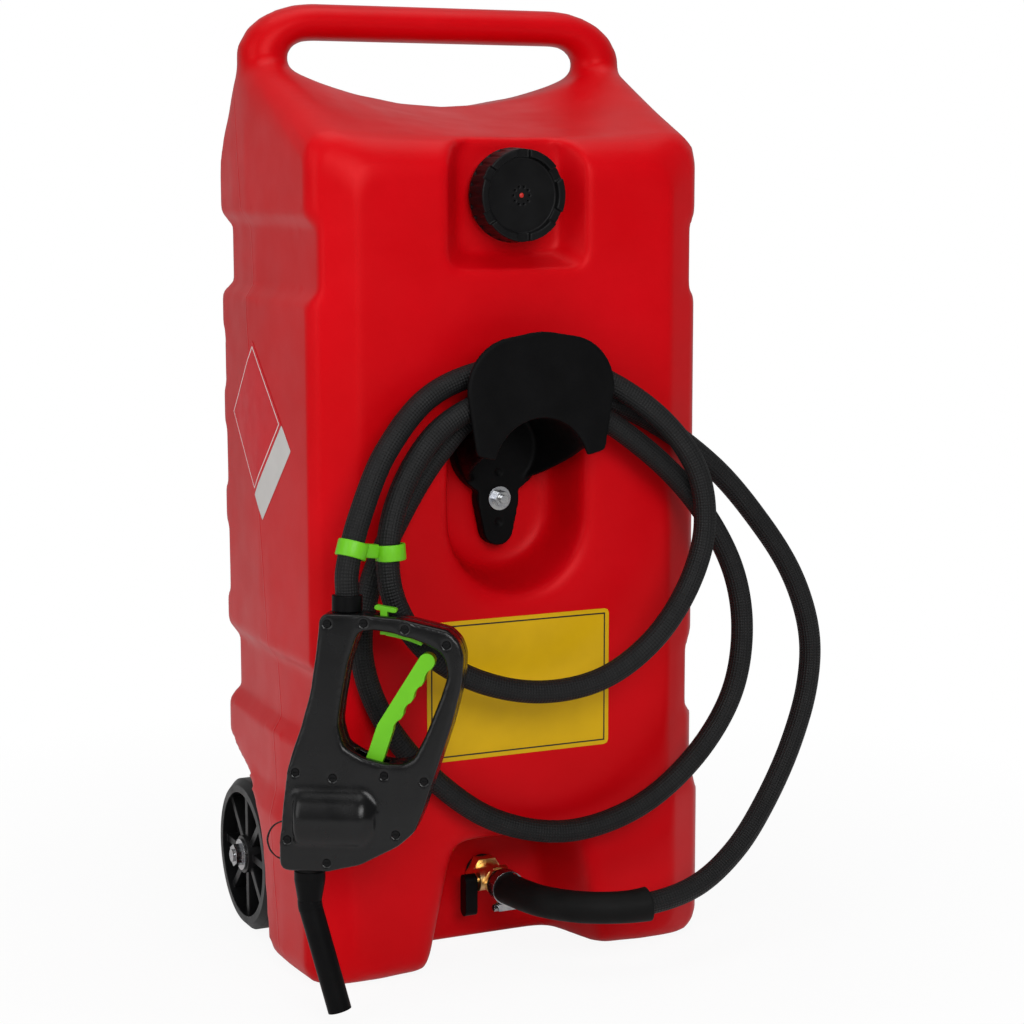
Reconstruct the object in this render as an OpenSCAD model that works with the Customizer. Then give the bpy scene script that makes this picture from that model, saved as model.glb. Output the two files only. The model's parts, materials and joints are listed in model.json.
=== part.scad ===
// Fuel caddy: a blow-moulded tank on two wheels, with a hand pump on a hose
// that hangs in loops over a hook.
// Frame: origin in the middle of the tank's base, on the floor. +Z is up and -Y is the front.

/* [Tank] */
// Width over the parting line
tank_w = 394; // [384:1:404]
// Depth from the front panel to the rear ribs
tank_d = 268; // [262:1:276]
// Height where the front panel meets the shoulder
shoulder_h = 750; // [744:1:760]
// Height of the top of the handle
handle_h = 879; // [870:1:888]
// Thickness of the moulded wall
wall = 5; // [4:0.5:6]
// How far the base stands out beyond the sides
base_flare = 8; // [4:0.5:10]
// Width of the bevel between the front panel and the sides
bevel_w = 38; // [30:1:44]
// Depth of that bevel
bevel_d = 19; // [15:0.5:22]
// Radius of the edges of the base
base_r = 20; // [16:1:22]
// Depth of the two grip notches in each side
notch_d = 9; // [6:0.5:11]
// Height of the flat floor of a notch
notch_h = 54; // [46:1:58]
// Height of the middle of the lower notch
notch_low_z = 255; // [250:1:260]
// Height of the middle of the upper notch
notch_high_z = 650; // [644:1:654]
// Depth of the panels between the rear ribs
rib_d = 16; // [8:1:18]
// Height of a rear rib
rib_h = 28; // [22:1:34]

/* [Handle] */
// Height of the handle bar
bar_h = 34; // [30:1:36]
// Depth of the handle bar, front to back
bar_d = 44; // [38:1:48]
// Width of the columns that carry the bar
column_w = 48; // [44:1:48]
// Width of the bend between the bar and a column, along its middle
handle_bend_w = 48; // [46:1:50]
// Height of that bend
handle_bend_h = 35; // [35:0.5:40]

/* [Filler] */
// Height of the filler cap's axis
cap_z = 705; // [698:1:710]
// Outer diameter of the cap
cap_d = 84; // [80:0.5:90]
// Length of the cap along its axis
cap_len = 29; // [28:0.5:30]
// Outer diameter of the filler neck
neck_d = 62; // [56:0.5:64]
// Wall of the filler neck
neck_wall = 5; // [4:0.5:7]
// How far the neck stands out of the floor of its pocket
neck_len = 21; // [20.5:0.5:22]
// Depth of the pocket round the cap
pocket_d = 24; // [22:1:26]
// Thickness of the sealing liner in the cap
liner_t = 2.5; // [2:0.25:3]

/* [Hook] */
// Width of the hook's front plate
hook_w = 142; // [132:1:150]
// Height of the hook's front plate
hook_h = 108; // [100:1:114]
// Thickness of the hook's plates
hook_t = 5; // [4:0.5:6]
// Outer radius of the saddle that carries the hose
saddle_r = 52; // [48:1:56]
// Distance from the front panel to the back of the front plate
hook_reach = 43.5; // [43.5:0.5:48]
// Depth of the rounded recess behind the hook
dish_d = 60; // [54:1:62]
// Diameter of the stud that holds the hook
stud_d = 8; // [6:0.5:10]

/* [Outlet] */
// Height of the outlet's axis
outlet_z = 66; // [60:1:70]
// Depth of the recess between the front feet
bay_d = 86; // [82:1:90]
// Bore of the outlet
outlet_bore = 14; // [12:0.5:16]
// Width across the flats of the valve's hexagon
valve_hex = 30; // [28:0.5:32]
// Length of the valve's lever
valve_lever_len = 40; // [36:1:42]

/* [Wheels] */
// Diameter of a wheel
wheel_d = 146; // [140:1:150]
// Width of a wheel
wheel_w = 40; // [36:1:42]
// Diameter of the axle
axle_d = 12; // [10:0.5:13]
// Distance from the rear ribs to the axle
axle_back = 58; // [54:1:62]
// Number of spokes
spokes = 8; // [6:1:10]

/* [Pump] */
// Thickness of the pump's body
pump_t = 38; // [36:1:42]
// Wall of the pump's shells
shell_t = 3; // [2:0.25:3.5]
// Outer radius of the barrel that bulges from both shells
barrel_r = 31; // [29:0.5:32]
// Clear radius of the pump's cylinder
cylinder_r = 22.5; // [21:0.25:23]
// Thickness of the squeeze lever
lever_t = 13; // [11:0.5:15]
// Distance from the lever's pivot to its tip
lever_len = 125.5; // [122:0.5:126]
// Outer diameter of the spout
spout_d = 20.6; // [19:0.1:22]
// Length of the spout's straight end
spout_len = 98; // [90:1:100]
// Diameter of the body screws' heads
screw_head = 6; // [5:0.25:6.5]

/* [Hose] */
// Outer diameter of the hose
hose_d = 20.5; // [19:0.1:20.5]
// Outer diameter of the guard sleeve at the outlet
sleeve_d = 29; // [27:0.5:31]
// Outer diameter of a ring of the hose clip
clip_d = 29; // [27:0.5:30]
// Height of the hose clip
clip_h = 13; // [10:0.5:15]

/* [Hidden] */
$fn = 48;
eps = 0.5;
fit = 0.3;
shaft_fit = 0.05;

tank_red = "#c8000f";
black = "#1a1a1b";
lime = "#6ec31e";
brass = "#c39a4a";
zinc = "#b9bcc0";
rubber = "#2a2a2b";

half_w = tank_w / 2;
y_front = -tank_d / 2;
y_rear = tank_d / 2;

// Small helpers
function clamp01(v) = min(1, max(0, v));
function ease(a, b, v) = let (t = clamp01((v - a) / (b - a))) t * t * (3 - 2 * t);
function ramp(a, b, v) = clamp01((v - a) / (b - a));
function unit(v) = v / norm(v);
// How far a rounded edge of radius r has drawn in at distance d from its outer face
function drawn_in(r, d) = d >= r ? 0 : r - sqrt(r * r - (r - max(0, d)) * (r - max(0, d)));

module along_y(x, y, z) translate([x, y, z]) rotate([90, 0, 0]) children();
module along_x(x, y, z) translate([x, y, z]) rotate([0, 90, 0]) children();
module both_sides() {
    children();
    mirror([1, 0, 0]) children();
}
module ring(outer_r, inner_r, h) difference() {
    cylinder(r = outer_r, h = h);
    translate([0, 0, -eps]) cylinder(r = inner_r, h = h + 2 * eps);
}
module hexagon(across, h) cylinder(d = across / cos(30), h = h, $fn = 6);

// Closed skin over rings of equal length, with flat ends
function skin_faces(rings, n) = concat(
    [[for (k = [n - 1 : -1 : 0]) k]],
    [for (i = [0 : rings - 2], k = [0 : n - 1], half = [0, 1])
        let (a = i * n + k, b = i * n + (k + 1) % n)
        half == 0 ? [a, b, b + n] : [a, b + n, a + n]],
    [[for (k = [0 : n - 1]) (rings - 1) * n + k]]);
module skin(rings) polyhedron(
    points = [for (r = rings, p = r) p],
    faces = skin_faces(len(rings), len(rings[0])));

// Tank: its halves meet at a parting line that leans back as it rises
side_draft = 6;
part_foot = y_front + 82;
part_lean = 0.151;
flare_top = 165;
flare_low = 140;
notch_slope = 12;
rear_r = 12;
top_r = 26;
shoulder_r = 26;
underside_rise = 40;
underside_start = 36;
shoulder_rise = 36;
column_lift = 55;
rear_drop = 45;
handle_back = 76;
handle_y = y_rear - handle_back;
shoulder_end = handle_y - bar_d / 2;
rear_start = handle_y + bar_d / 2;

function part_y(z) = part_foot + part_lean * z;
function notch_at(z, middle) = notch_d
    * ramp(middle - notch_h / 2 - notch_slope, middle - notch_h / 2, z)
    * (1 - ramp(middle + notch_h / 2, middle + notch_h / 2 + notch_slope, z));
function flare_at(z) = base_flare * (1 - ease(flare_low, flare_top, z));
function side_x(y, z) = let (p = part_y(z))
    half_w - side_draft * (y < p ? (p - y) / (p - y_front) : (y - p) / (y_rear - p))
    + flare_at(z) - notch_at(z, notch_low_z) - notch_at(z, notch_high_z);
function bevel_x(y, z) = half_w - side_draft + flare_at(z) - bevel_w * (1 - (y - y_front) / bevel_d);
function half_x(y, z) = min(side_x(y, z), bevel_x(y, z)) - drawn_in(rear_r, y_rear - y);
function base_z(y) = drawn_in(base_r, y - y_front) + drawn_in(rear_r, y_rear - y)
    + underside_rise * ramp(underside_start, y_rear, y);
// The top dips between the handle's columns
function lift(x) = column_lift * x * x / half_w / half_w;
function top_z(x, y) = let (t = ramp(y_front, shoulder_end, y))
    shoulder_h + (shoulder_rise + lift(x)) * t
    - drawn_in(shoulder_r, y - y_front) - drawn_in(rear_r, y_rear - y)
    - (rear_drop + lift(x)) * ramp(rear_start, y_rear, y);

side_levels = [92, 118, flare_low, (flare_low + flare_top) / 2, flare_top, 190,
    for (m = [notch_low_z, notch_high_z], e = [-1, 1], s = e < 0 ? [notch_slope, 0] : [0, notch_slope])
        m + e * (notch_h / 2 + s)];
levels = [for (i = [0 : 9]) side_levels[i], for (f = [0.15 : 0.175 : 0.9])
    side_levels[9] + f * (side_levels[10] - side_levels[9]), for (i = [10 : 13]) side_levels[i]];

// Right half of a cross-section at depth y, drawn in by g, from the middle of the base to the middle of the top
function half_section(y, g) = let (
    at = y + (y < 0 ? -g : g),
    low = base_z(at) + g,
    low_x = half_x(at, low + base_r) - g,
    high_x = half_x(at, levels[len(levels) - 1]) - g,
    high = top_z(high_x - top_r, at) - g)
    concat(
        [for (f = [0, 0.5, 1]) [f * (low_x - base_r), low]],
        [for (a = [30, 60, 90]) [low_x - base_r * (1 - sin(a)), low + base_r * (1 - cos(a))]],
        [for (z = levels) [half_x(at, z) - g, z]],
        [for (a = [0, 30, 60, 90]) [high_x - top_r * (1 - cos(a)), high - top_r * (1 - sin(a))]],
        [for (f = [0.85, 0.7, 0.5, 0.25, 0]) let (x = f * (high_x - top_r)) [x, top_z(x, at) - g]]);
function section(y, g) = let (h = half_section(y, g), n = len(h)) concat(
    [for (p = h) [p[0], y, p[1]]],
    [for (i = [n - 2 : -1 : 1]) [-h[i][0], y, h[i][1]]]);

edge_turns = [0, 22.5, 45, 67.5, 90];
function depths(g, steps) = let (f = y_front + g, r = y_rear - g, from = f + shoulder_r) concat(
    [for (a = edge_turns) f + shoulder_r * (1 - cos(a))],
    [for (i = [1 : steps]) from + (shoulder_end - from) * i / steps],
    [rear_start - g, (rear_start + r - rear_r) / 2],
    [for (a = edge_turns) r - rear_r * (1 - sin(a))]);
module tank_form(g, steps) skin([for (y = depths(g, steps)) section(y, g)]);

// Handle: a bent bar whose ends widen into the shoulder
bend_x = half_w - 2 - column_w / 2 - handle_bend_w;
bend_z = handle_h - bar_h / 2 - handle_bend_h;
root_sink = 18;
handle_root = bend_z - shoulder_h - root_sink;
// Middle, outward direction, half height and half depth of the handle at station s from 0 to 1
function handle_half(s) =
    s < 0.3 ? [bend_x * s / 0.3, bend_z + handle_bend_h, 90, bar_h / 2, bar_d / 2]
    : s < 0.7 ? let (t = (s - 0.3) / 0.4, a = 90 * (1 - t))
        [bend_x + handle_bend_w * cos(a), bend_z + handle_bend_h * sin(a),
            atan2(sin(a) * handle_bend_w, cos(a) * handle_bend_h),
            bar_h / 2 + (column_w - bar_h) / 2 * ease(0.2, 1, t), bar_d / 2]
    : let (t = (s - 0.7) / 0.3)
        [bend_x + handle_bend_w, bend_z - handle_root * t, 0,
            column_w / 2, bar_d / 2 * (1 + 1.5 * t * t)];
function handle_ring(st, side) = [for (k = [0 : 19]) let (a = 18 * k + 7, out = st[3] * cos(a))
    [side * (st[0] + out * cos(st[2])), handle_y + st[4] * sin(a), st[1] + out * sin(st[2])]];
handle_steps = [0.15, 0.3, 0.37, 0.44, 0.51, 0.58, 0.65, 0.7, 0.8, 0.9, 1];
module handle_form() skin(concat(
    [for (i = [len(handle_steps) - 1 : -1 : 0]) handle_ring(handle_half(handle_steps[i]), -1)],
    [handle_ring(handle_half(0), 1)],
    [for (s = handle_steps) handle_ring(handle_half(s), 1)]));

// Pocket round the filler cap, open at the top where it runs out into the shoulder
pocket_floor = y_front + pocket_d;
pocket_half = 70;
pocket_low = cap_z - 66;
pocket_r = 14;
pocket_slope = 20;
pocket_rise = 14;
pocket_top = 62;
pocket_lip = 30;
module cap_pocket(g) hull() for (x = [-1, 1], deep = [0, 1], up = [0, 1])
    along_y(x * (pocket_half - pocket_r - pocket_slope * deep), (deep ? pocket_floor + g : y_front - 1),
        up ? cap_z + pocket_top - pocket_lip * deep : pocket_low + pocket_r + pocket_rise * deep)
        cylinder(r = pocket_r + g, h = eps, $fn = 24);

// Rounded recess behind the hook, taller than it is wide
arch_z = 466;
dish_drop = 52;
dish_low_z = arch_z - dish_drop;
dish_high_z = arch_z + 6;
dish_floor_r = saddle_r + 6;
dish_r = dish_floor_r + 9;
dish_rise = 8;
dish_floor = y_front + dish_d;
module hook_dish(g) hull() for (z = [dish_low_z, dish_high_z]) {
    along_y(0, dish_floor + g, z + (z < arch_z ? dish_rise : 0)) cylinder(r = dish_floor_r + g, h = eps, $fn = 64);
    along_y(0, y_front - eps, z) cylinder(r = dish_r + g, h = eps, $fn = 64);
}

// Recess between the front feet, in whose back wall the outlet sits
bay_back = y_front + bay_d;
bay_top = 122;
bay_r = 12;
module outlet_bay(g) hull() both_sides() {
    translate([70 - bay_r, bay_back - bay_r, -1]) cylinder(r = bay_r + g, h = eps, $fn = 24);
    translate([52 - bay_r, bay_back - bay_r, bay_top - bay_r - 6]) sphere(r = bay_r + g, $fn = 24);
    translate([90, y_front - 1, -1]) cylinder(r = 1 + g, h = eps, $fn = 24);
    translate([66 - bay_r, y_front - 1, bay_top - bay_r]) sphere(r = bay_r + g, $fn = 24);
}

// Wheel wells, open to the side, the rear and the floor
wheel_r = wheel_d / 2;
wheel_y = y_rear - axle_back;
wheel_out = half_w;
wheel_in = wheel_out - wheel_w;
well_in = wheel_in - 5;
well_r = wheel_r + 12;
well_top = 186;
module wheel_well(g) hull() {
    along_x(well_in - g, wheel_y, wheel_r) cylinder(r = well_r + g, h = 2 * wheel_w, $fn = 64);
    translate([well_in - g, wheel_y - well_r - 14 - g, -1]) cube([2 * wheel_w, eps, eps]);
    translate([well_in - g, y_rear + 1, -1]) cube([2 * wheel_w, eps, well_top + g]);
}

// Panels sunk between the rear ribs, which run on round the rear corners
rib_levels = [208, 304, 410, 504, 597, 697];
rib_bevel = 10;
module rear_panels(g) for (i = [0 : len(rib_levels) - 2])
    let (low = rib_levels[i] + rib_h / 2, high = rib_levels[i + 1] - rib_h / 2)
    hull() for (deep = [0, 1]) let (s = deep * rib_bevel - g)
        translate([-half_w - rib_bevel, (deep ? y_rear - rib_d - g : y_rear + 1), low + s])
            cube([2 * (half_w + rib_bevel), eps, high - low - 2 * s]);

module tank_recesses(g) {
    cap_pocket(g);
    hook_dish(g);
    outlet_bay(g);
    both_sides() wheel_well(g);
    rear_panels(g);
}

axle_r = axle_d / 2;
axle_hole = axle_r + 0.4;
stud_r = stud_d / 2;
stud_boss_r = stud_r + 7;
stud_depth = 16;
nipple_r = outlet_bore / 2 + 3.5;
nipple_hole = nipple_r + fit;
outer_steps = 6;
inner_steps = 3;

module tank() color(tank_red) difference() {
    union() {
        difference() {
            union() {
                tank_form(0, outer_steps);
                handle_form();
            }
            tank_recesses(0);
        }
        along_y(0, pocket_floor + eps, cap_z) cylinder(d = neck_d, h = neck_len + eps, $fn = 64);
    }
    difference() {
        tank_form(wall, inner_steps);
        tank_recesses(wall);
        along_x(-half_w, wheel_y, wheel_r) cylinder(r = axle_hole + wall, h = tank_w);
        along_y(0, dish_floor + stud_depth + wall, stud_z) cylinder(r = stud_boss_r, h = stud_depth + wall);
    }
    along_y(0, pocket_floor + wall + 1, cap_z)
        cylinder(r = neck_d / 2 - neck_wall, h = neck_len + wall + 2, $fn = 64);
    along_y(0, bay_back + wall + 1, outlet_z) cylinder(r = nipple_hole, h = wall + 2);
    along_x(-half_w, wheel_y, wheel_r) cylinder(r = axle_hole, h = tank_w);
    along_y(0, dish_floor + stud_depth, stud_z) cylinder(r = stud_r + fit, h = stud_depth + 1, $fn = 32);
}

// Filler cap: a ribbed skirt over the neck, with its face sunk inside a castellated rim
neck_face = pocket_floor - neck_len;
cap_r = cap_d / 2;
cap_roof = 5;
cap_rim = 6;
cap_lip = 4;
cap_base = neck_face - liner_t - cap_roof - cap_rim + cap_len;
skirt_r = neck_d / 2 + 0.8;
cap_ribs = 26;
rim_gaps = 6;
module filler_liner() color(rubber) along_y(0, neck_face, cap_z) cylinder(r = skirt_r - fit, h = liner_t);
module filler_cap() color(black) along_y(0, cap_base, cap_z) difference() {
    rotate_extrude() polygon([[skirt_r, 0], [cap_r - 1, 0], [cap_r, cap_lip], [cap_r - 1.5, cap_len],
        [cap_r - 8, cap_len], [cap_r - 9, cap_len - cap_rim], [0, cap_len - cap_rim],
        [0, cap_len - cap_rim - cap_roof], [skirt_r, cap_len - cap_rim - cap_roof]]);
    for (i = [0 : cap_ribs - 1]) rotate(i * 360 / cap_ribs) translate([cap_r + 1.2, 0, cap_lip + 1])
        cylinder(r = 2.8, h = cap_len);
    for (i = [0 : rim_gaps - 1]) rotate((i + 0.5) * 360 / rim_gaps) translate([cap_r - 12, -6, cap_len - 4])
        cube([16, 12, 6]);
}

// Hook: a front plate with an arch, a saddle that runs back into the dish and a bolted foot
hook_back = y_front - hook_reach;
plate_low = arch_z + 14;
plate_top = plate_low + hook_h;
plate_r = 46;
plate_crown = 60;
stud_drop = 36;
stud_z = arch_z - stud_drop;
foot_t = hook_t + 11;
foot_half = 21;
foot_tip_r = 15;
foot_drop = 80;
foot_low = arch_z - foot_drop;
saddle_foot_r = saddle_r - 10;
foot_arch_z = arch_z + saddle_r - saddle_foot_r;
foot_disc_r = saddle_foot_r + 2;
// The saddle's lower edge drops from the plate to the foot
saddle_front_z = arch_z + 20;
saddle_drop = 26;
saddle_foot_z = arch_z - saddle_drop;
module hook_plate() difference() {
    hull() {
        for (x = [-1, 1]) {
            translate([x * (hook_w / 2 - plate_r), plate_top - plate_r - 4]) circle(r = plate_r);
            translate([x * (hook_w / 2 - 14), plate_low + 6]) circle(r = 6);
        }
        translate([0, plate_top - plate_crown]) circle(r = plate_crown);
    }
    translate([0, arch_z]) circle(r = saddle_r - hook_t - 1);
}
module arch_cone(t, more) hull() {
    along_y(0, hook_back - more + eps, arch_z) cylinder(r = saddle_r - t, h = 2 * eps, $fn = 64);
    along_y(0, dish_floor - foot_t + more + eps, foot_arch_z) cylinder(r = saddle_foot_r - t, h = eps, $fn = 64);
}
module hook_saddle() difference() {
    arch_cone(0, 0);
    arch_cone(hook_t, 1);
    translate([-tank_w / 2, 0, 0]) rotate([90, 0, 90]) linear_extrude(tank_w)
        polygon([[hook_back - 1, 0], [dish_floor, 0], [dish_floor, saddle_foot_z], [hook_back - 1, saddle_front_z]]);
}
module hook_foot() {
    hull() {
        translate([0, stud_z]) circle(r = foot_half);
        translate([0, foot_low + foot_tip_r]) circle(r = foot_tip_r);
    }
    translate([0, foot_arch_z]) circle(r = foot_disc_r);
}
module hook() color(black) difference() {
    union() {
        along_y(0, hook_back, 0) linear_extrude(hook_t) hook_plate();
        hook_saddle();
        along_y(0, dish_floor, 0) linear_extrude(foot_t) hook_foot();
    }
    along_y(0, dish_floor + 1, stud_z) cylinder(r = stud_r + 0.4, h = foot_t + 2);
    for (z = [stud_z - 22, stud_z + 24]) along_y(0, dish_floor - foot_t + 2, z) cylinder(r = 4, h = 4);
}
washer_t = 2;
nut_t = 7;
module hook_stud() color(zinc) along_y(0, dish_floor + stud_depth - fit, stud_z)
    cylinder(r = stud_r, h = stud_depth - fit + foot_t + washer_t + nut_t + 4);
module hook_washer() color(zinc) along_y(0, dish_floor - foot_t, stud_z) ring(stud_r + 7, stud_r + fit, washer_t);
module hook_nut() color(zinc) along_y(0, dish_floor - foot_t - washer_t, stud_z) difference() {
    hexagon(2 * stud_r + 5, nut_t);
    translate([0, 0, -eps]) cylinder(r = stud_r + shaft_fit, h = nut_t + 2 * eps);
}

// Outlet: a brass plug valve screwed into the back wall of the bay, with a black lever on its left
gasket_t = 2;
gasket_seat = bay_back - 0.2;
valve_back = gasket_seat - gasket_t;
hex_len = 12;
valve_len = 36;
valve_r = 13;
plug_r = outlet_bore / 2 + 1.5;
plug_y = valve_back - hex_len - 12;
plug_half = valve_r + 1;
stem_r = 3.5;
lever_x = plug_half + 4;
lever_w = 12;
module outlet_gasket() color(rubber) along_y(0, gasket_seat, outlet_z) ring(valve_hex / 2 + 1, nipple_r + fit, gasket_t);
module outlet_valve() color(brass) difference() {
    union() {
        along_y(0, bay_back + wall + 3, outlet_z) cylinder(r = nipple_r, h = wall + 3 + gasket_t + eps);
        along_y(0, valve_back, outlet_z) hexagon(valve_hex, hex_len);
        along_y(0, valve_back - hex_len + eps, outlet_z) cylinder(r = valve_r, h = valve_len - hex_len + eps);
        along_x(-plug_half - 2, plug_y, outlet_z) cylinder(r = plug_r + 2.2, h = 2 * plug_half + 2);
    }
    along_y(0, bay_back + wall + 4, outlet_z) cylinder(d = outlet_bore - 2, h = 80);
    along_x(-plug_half, plug_y, outlet_z) cylinder(r = plug_r + shaft_fit, h = 2 * plug_half + 1);
    along_x(-plug_half - 3, plug_y, outlet_z) cylinder(r = stem_r + shaft_fit, h = plug_half);
}
module valve_plug() color(zinc) difference() {
    union() {
        along_x(-plug_half + fit, plug_y, outlet_z) cylinder(r = plug_r, h = 2 * plug_half - fit);
        along_x(-lever_x - lever_w + 3, plug_y, outlet_z) cylinder(r = stem_r, h = lever_x);
    }
    along_y(0, plug_y + plug_r + 1, outlet_z) cylinder(d = outlet_bore - 4, h = 2 * plug_r + 2);
}
module valve_lever() color(black) difference() {
    hull() for (e = [0, 1]) along_x(-lever_x - lever_w, plug_y, outlet_z - e * (valve_lever_len - 13))
        cylinder(r = 6.5, h = lever_w);
    along_x(-lever_x - lever_w + 3 - shaft_fit, plug_y, outlet_z) cylinder(r = stem_r + shaft_fit, h = lever_w);
}
barb_back = valve_back - valve_len;
hose_start = y_front + 42;
module hose_barb() color(brass) along_y(0, barb_back, outlet_z) difference() {
    union() {
        hexagon(valve_hex - 6, 5);
        cylinder(r = valve_r - 3, h = barb_back - hose_start);
    }
    translate([0, 0, -1]) cylinder(d = outlet_bore - 4, h = 40);
}
clamp_w = 11;
clamp_y = hose_start - 8;
clamp_in = sleeve_d / 2 + fit;
module hose_clamp() color(zinc) along_y(0, clamp_y, outlet_z) {
    ring(clamp_in + 1.2, clamp_in, clamp_w);
    translate([-9, -clamp_in - 7, 1.5]) difference() {
        cube([18, 6.6, clamp_w - 3]);
        translate([-1, 3, (clamp_w - 3) / 2]) rotate([0, 90, 0]) cylinder(r = 2, h = 20);
    }
    translate([-13, -clamp_in - 4, clamp_w / 2]) rotate([0, 90, 0]) union() {
        cylinder(r = 1.9, h = 22);
        hexagon(6, 4);
    }
}

// Hose: route points chosen by hand, from the outlet over the hook three times to the pump
route = [[0, -92, 66], [0, -116, 66], [13, -162, 66], [46, -196, 66], [94, -209, 67], [148, -204, 76],
    [199, -187, 100], [244, -165, 136], [280, -150, 184], [300, -145, 238], [301, -145, 290], [282, -145, 345],
    [246, -145, 398], [192, -145, 456], [120, -145, 505], [42, -145, 531], [-34, -145, 524], [-84, -145, 481],
    [-122, -146, 426], [-150, -147, 368], [-158, -147, 308], [-138, -148, 248], [-94, -151, 192], [-36, -156, 148],
    [34, -161, 130], [104, -164, 144], [162, -166, 184], [202, -167, 240], [214, -167, 302], [202, -167, 364],
    [164, -167, 426], [110, -167, 478], [44, -166.5, 519], [-26, -166.5, 531], [-84, -166.5, 510], [-123, -173, 469],
    [-145, -181, 418], [-143, -184, 364], [-113, -185, 316], [-64, -186, 284], [-4, -188, 269], [56, -190, 276],
    [106, -192, 307], [142, -192, 354], [159, -191, 408], [150, -187, 464], [112, -173, 514], [48, -157, 551],
    [-28, -156, 555], [-94, -158, 535], [-142, -170, 490], [-172, -182, 436], [-186, -188, 394], [-187, -189, 371]];
hose_r = hose_d / 2;
hose_sides = 10;
function spline(a, b, c, d, t) = 0.5 * (2 * b + (c - a) * t + (2 * a - 5 * b + 4 * c - d) * t * t
    + (3 * b - a - 3 * c + d) * t * t * t);
function route_at(i) = i < 0 ? 2 * route[0] - route[1]
    : i >= len(route) ? 2 * route[len(route) - 1] - route[len(route) - 2] : route[i];
route_split = [for (i = [0 : len(route) - 2]) norm(route[i + 1] - route[i]) > 66 ? 2 : 1];
path = concat([for (i = [0 : len(route) - 2], k = [0 : route_split[i] - 1])
    spline(route_at(i - 1), route[i], route[i + 1], route_at(i + 2), k / route_split[i])], [route[len(route) - 1]]);
last = len(path) - 1;
tangents = [for (i = [0 : last]) unit(path[min(i + 1, last)] - path[max(i - 1, 0)])];
// Each ring's side direction is carried on from the ring before, so the tube doesn't twist
function carried(i, v) = i > last ? []
    : let (n = unit(v - (v * tangents[i]) * tangents[i])) concat([n], carried(i + 1, n));
sides = carried(0, [0, 0, 1]);
function tube_ring(i, r, shift = 0) = [for (k = [0 : hose_sides - 1]) let (a = 360 * k / hose_sides)
    path[i] + shift * tangents[i] + r * (cos(a) * sides[i] + sin(a) * cross(sides[i], tangents[i]))];
// Pipe over a row of stations, each a path index and a shift along the path
function pipe_faces(m, n) = [for (i = [0 : m - 1], k = [0 : n - 1], half = [0, 1])
    let (a = i * n + k, b = i * n + (k + 1) % n, c = ((i + 1) % m) * n + k, d = ((i + 1) % m) * n + (k + 1) % n)
    half == 0 ? [a, b, d] : [a, d, c]];
module pipe(stations, outer, inner) let (
    rings = concat([for (s = stations) tube_ring(s[0], outer, s[1])],
        [for (i = [len(stations) - 1 : -1 : 0]) tube_ring(stations[i][0], inner, stations[i][1])]))
    polyhedron(points = [for (r = rings, p = r) p], faces = pipe_faces(len(rings), hose_sides));

self_gap = min([for (i = [0 : last], j = [i + 3 : 1 : last]) norm(path[i] - path[j])]) - hose_d;
route_len = [for (i = [1 : last]) norm(path[i] - path[i - 1])] * [for (i = [1 : last]) 1];
echo(hose_length = route_len, least_self_gap = self_gap, rings = last + 1);

module hose() color(rubber) skin([for (i = [0 : last]) tube_ring(i, hose_r)]);
sleeve_end = 4;
module hose_sleeve() color(black)
    pipe([[0, 4], for (i = [1 : sleeve_end]) [i, 0]], sleeve_d / 2, hose_r + fit);

// Clip: a ring on each of two neighbouring runs of the hose, joined by a web
function nearest(p) = let (d = [for (q = path) norm(q - p)]) [for (i = [0 : last]) if (d[i] == min(d)) i][0];
clip_runs = [[nearest(route[36]), 0.27], [nearest(route[51]), 0.65]];
function clip_dir(c) = unit(path[c[0] + 1] - path[c[0]]);
function clip_at(c) = path[c[0]] + c[1] * (path[c[0] + 1] - path[c[0]]);
function clip_ring(c, r, shift) = let (d = clip_dir(c), n = unit(sides[c[0]] - (sides[c[0]] * d) * d), b = cross(n, d))
    [for (k = [0 : hose_sides - 1]) let (a = 360 * k / hose_sides)
        clip_at(c) + shift * d + r * (cos(a) * n + sin(a) * b)];
clip_in = hose_r + 2 * fit;
module clip_collar(c) let (rings = [clip_ring(c, clip_d / 2, -clip_h / 2), clip_ring(c, clip_d / 2, clip_h / 2),
    clip_ring(c, clip_in, clip_h / 2), clip_ring(c, clip_in, -clip_h / 2)])
    polyhedron(points = [for (r = rings, p = r) p], faces = pipe_faces(4, hose_sides));
clip_way = clip_at(clip_runs[1]) - clip_at(clip_runs[0]);
module hose_clip() color(lime) {
    for (c = clip_runs) clip_collar(c);
    translate((clip_at(clip_runs[0]) + clip_at(clip_runs[1])) / 2) rotate([0, 0, atan2(clip_way[1], clip_way[0])])
        cube([norm(clip_way) - clip_d + 4, 5, clip_h - 5], center = true);
}

// Wheels: one-piece mouldings that run on a through axle held by nuts
hub_r = 19;
tread_t = 11;
web_t = 8;
spoke_t = 7;
module wheel() along_x(0, wheel_y, wheel_r) difference() {
    union() {
        rotate_extrude() polygon([[axle_r + shaft_fit, 1], [hub_r, 1], [hub_r, wheel_w / 2 - web_t / 2],
            [wheel_r - tread_t, wheel_w / 2 - web_t / 2], [wheel_r - tread_t - 2, 0], [wheel_r - 6, 0], [wheel_r, 6],
            [wheel_r, wheel_w - 6], [wheel_r - 6, wheel_w], [wheel_r - tread_t - 2, wheel_w],
            [wheel_r - tread_t, wheel_w / 2 + web_t / 2], [hub_r, wheel_w / 2 + web_t / 2],
            [hub_r - 1, wheel_w - fit], [axle_r + shaft_fit, wheel_w - fit]]);
        for (i = [0 : spokes - 1]) rotate(i * 360 / spokes) translate([hub_r - 3, -spoke_t / 2, 5])
            cube([wheel_r - tread_t - hub_r + 4, spoke_t, wheel_w - 10]);
    }
    translate([0, 0, -1]) cylinder(r = axle_r + shaft_fit, h = wheel_w + 2);
}
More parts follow.
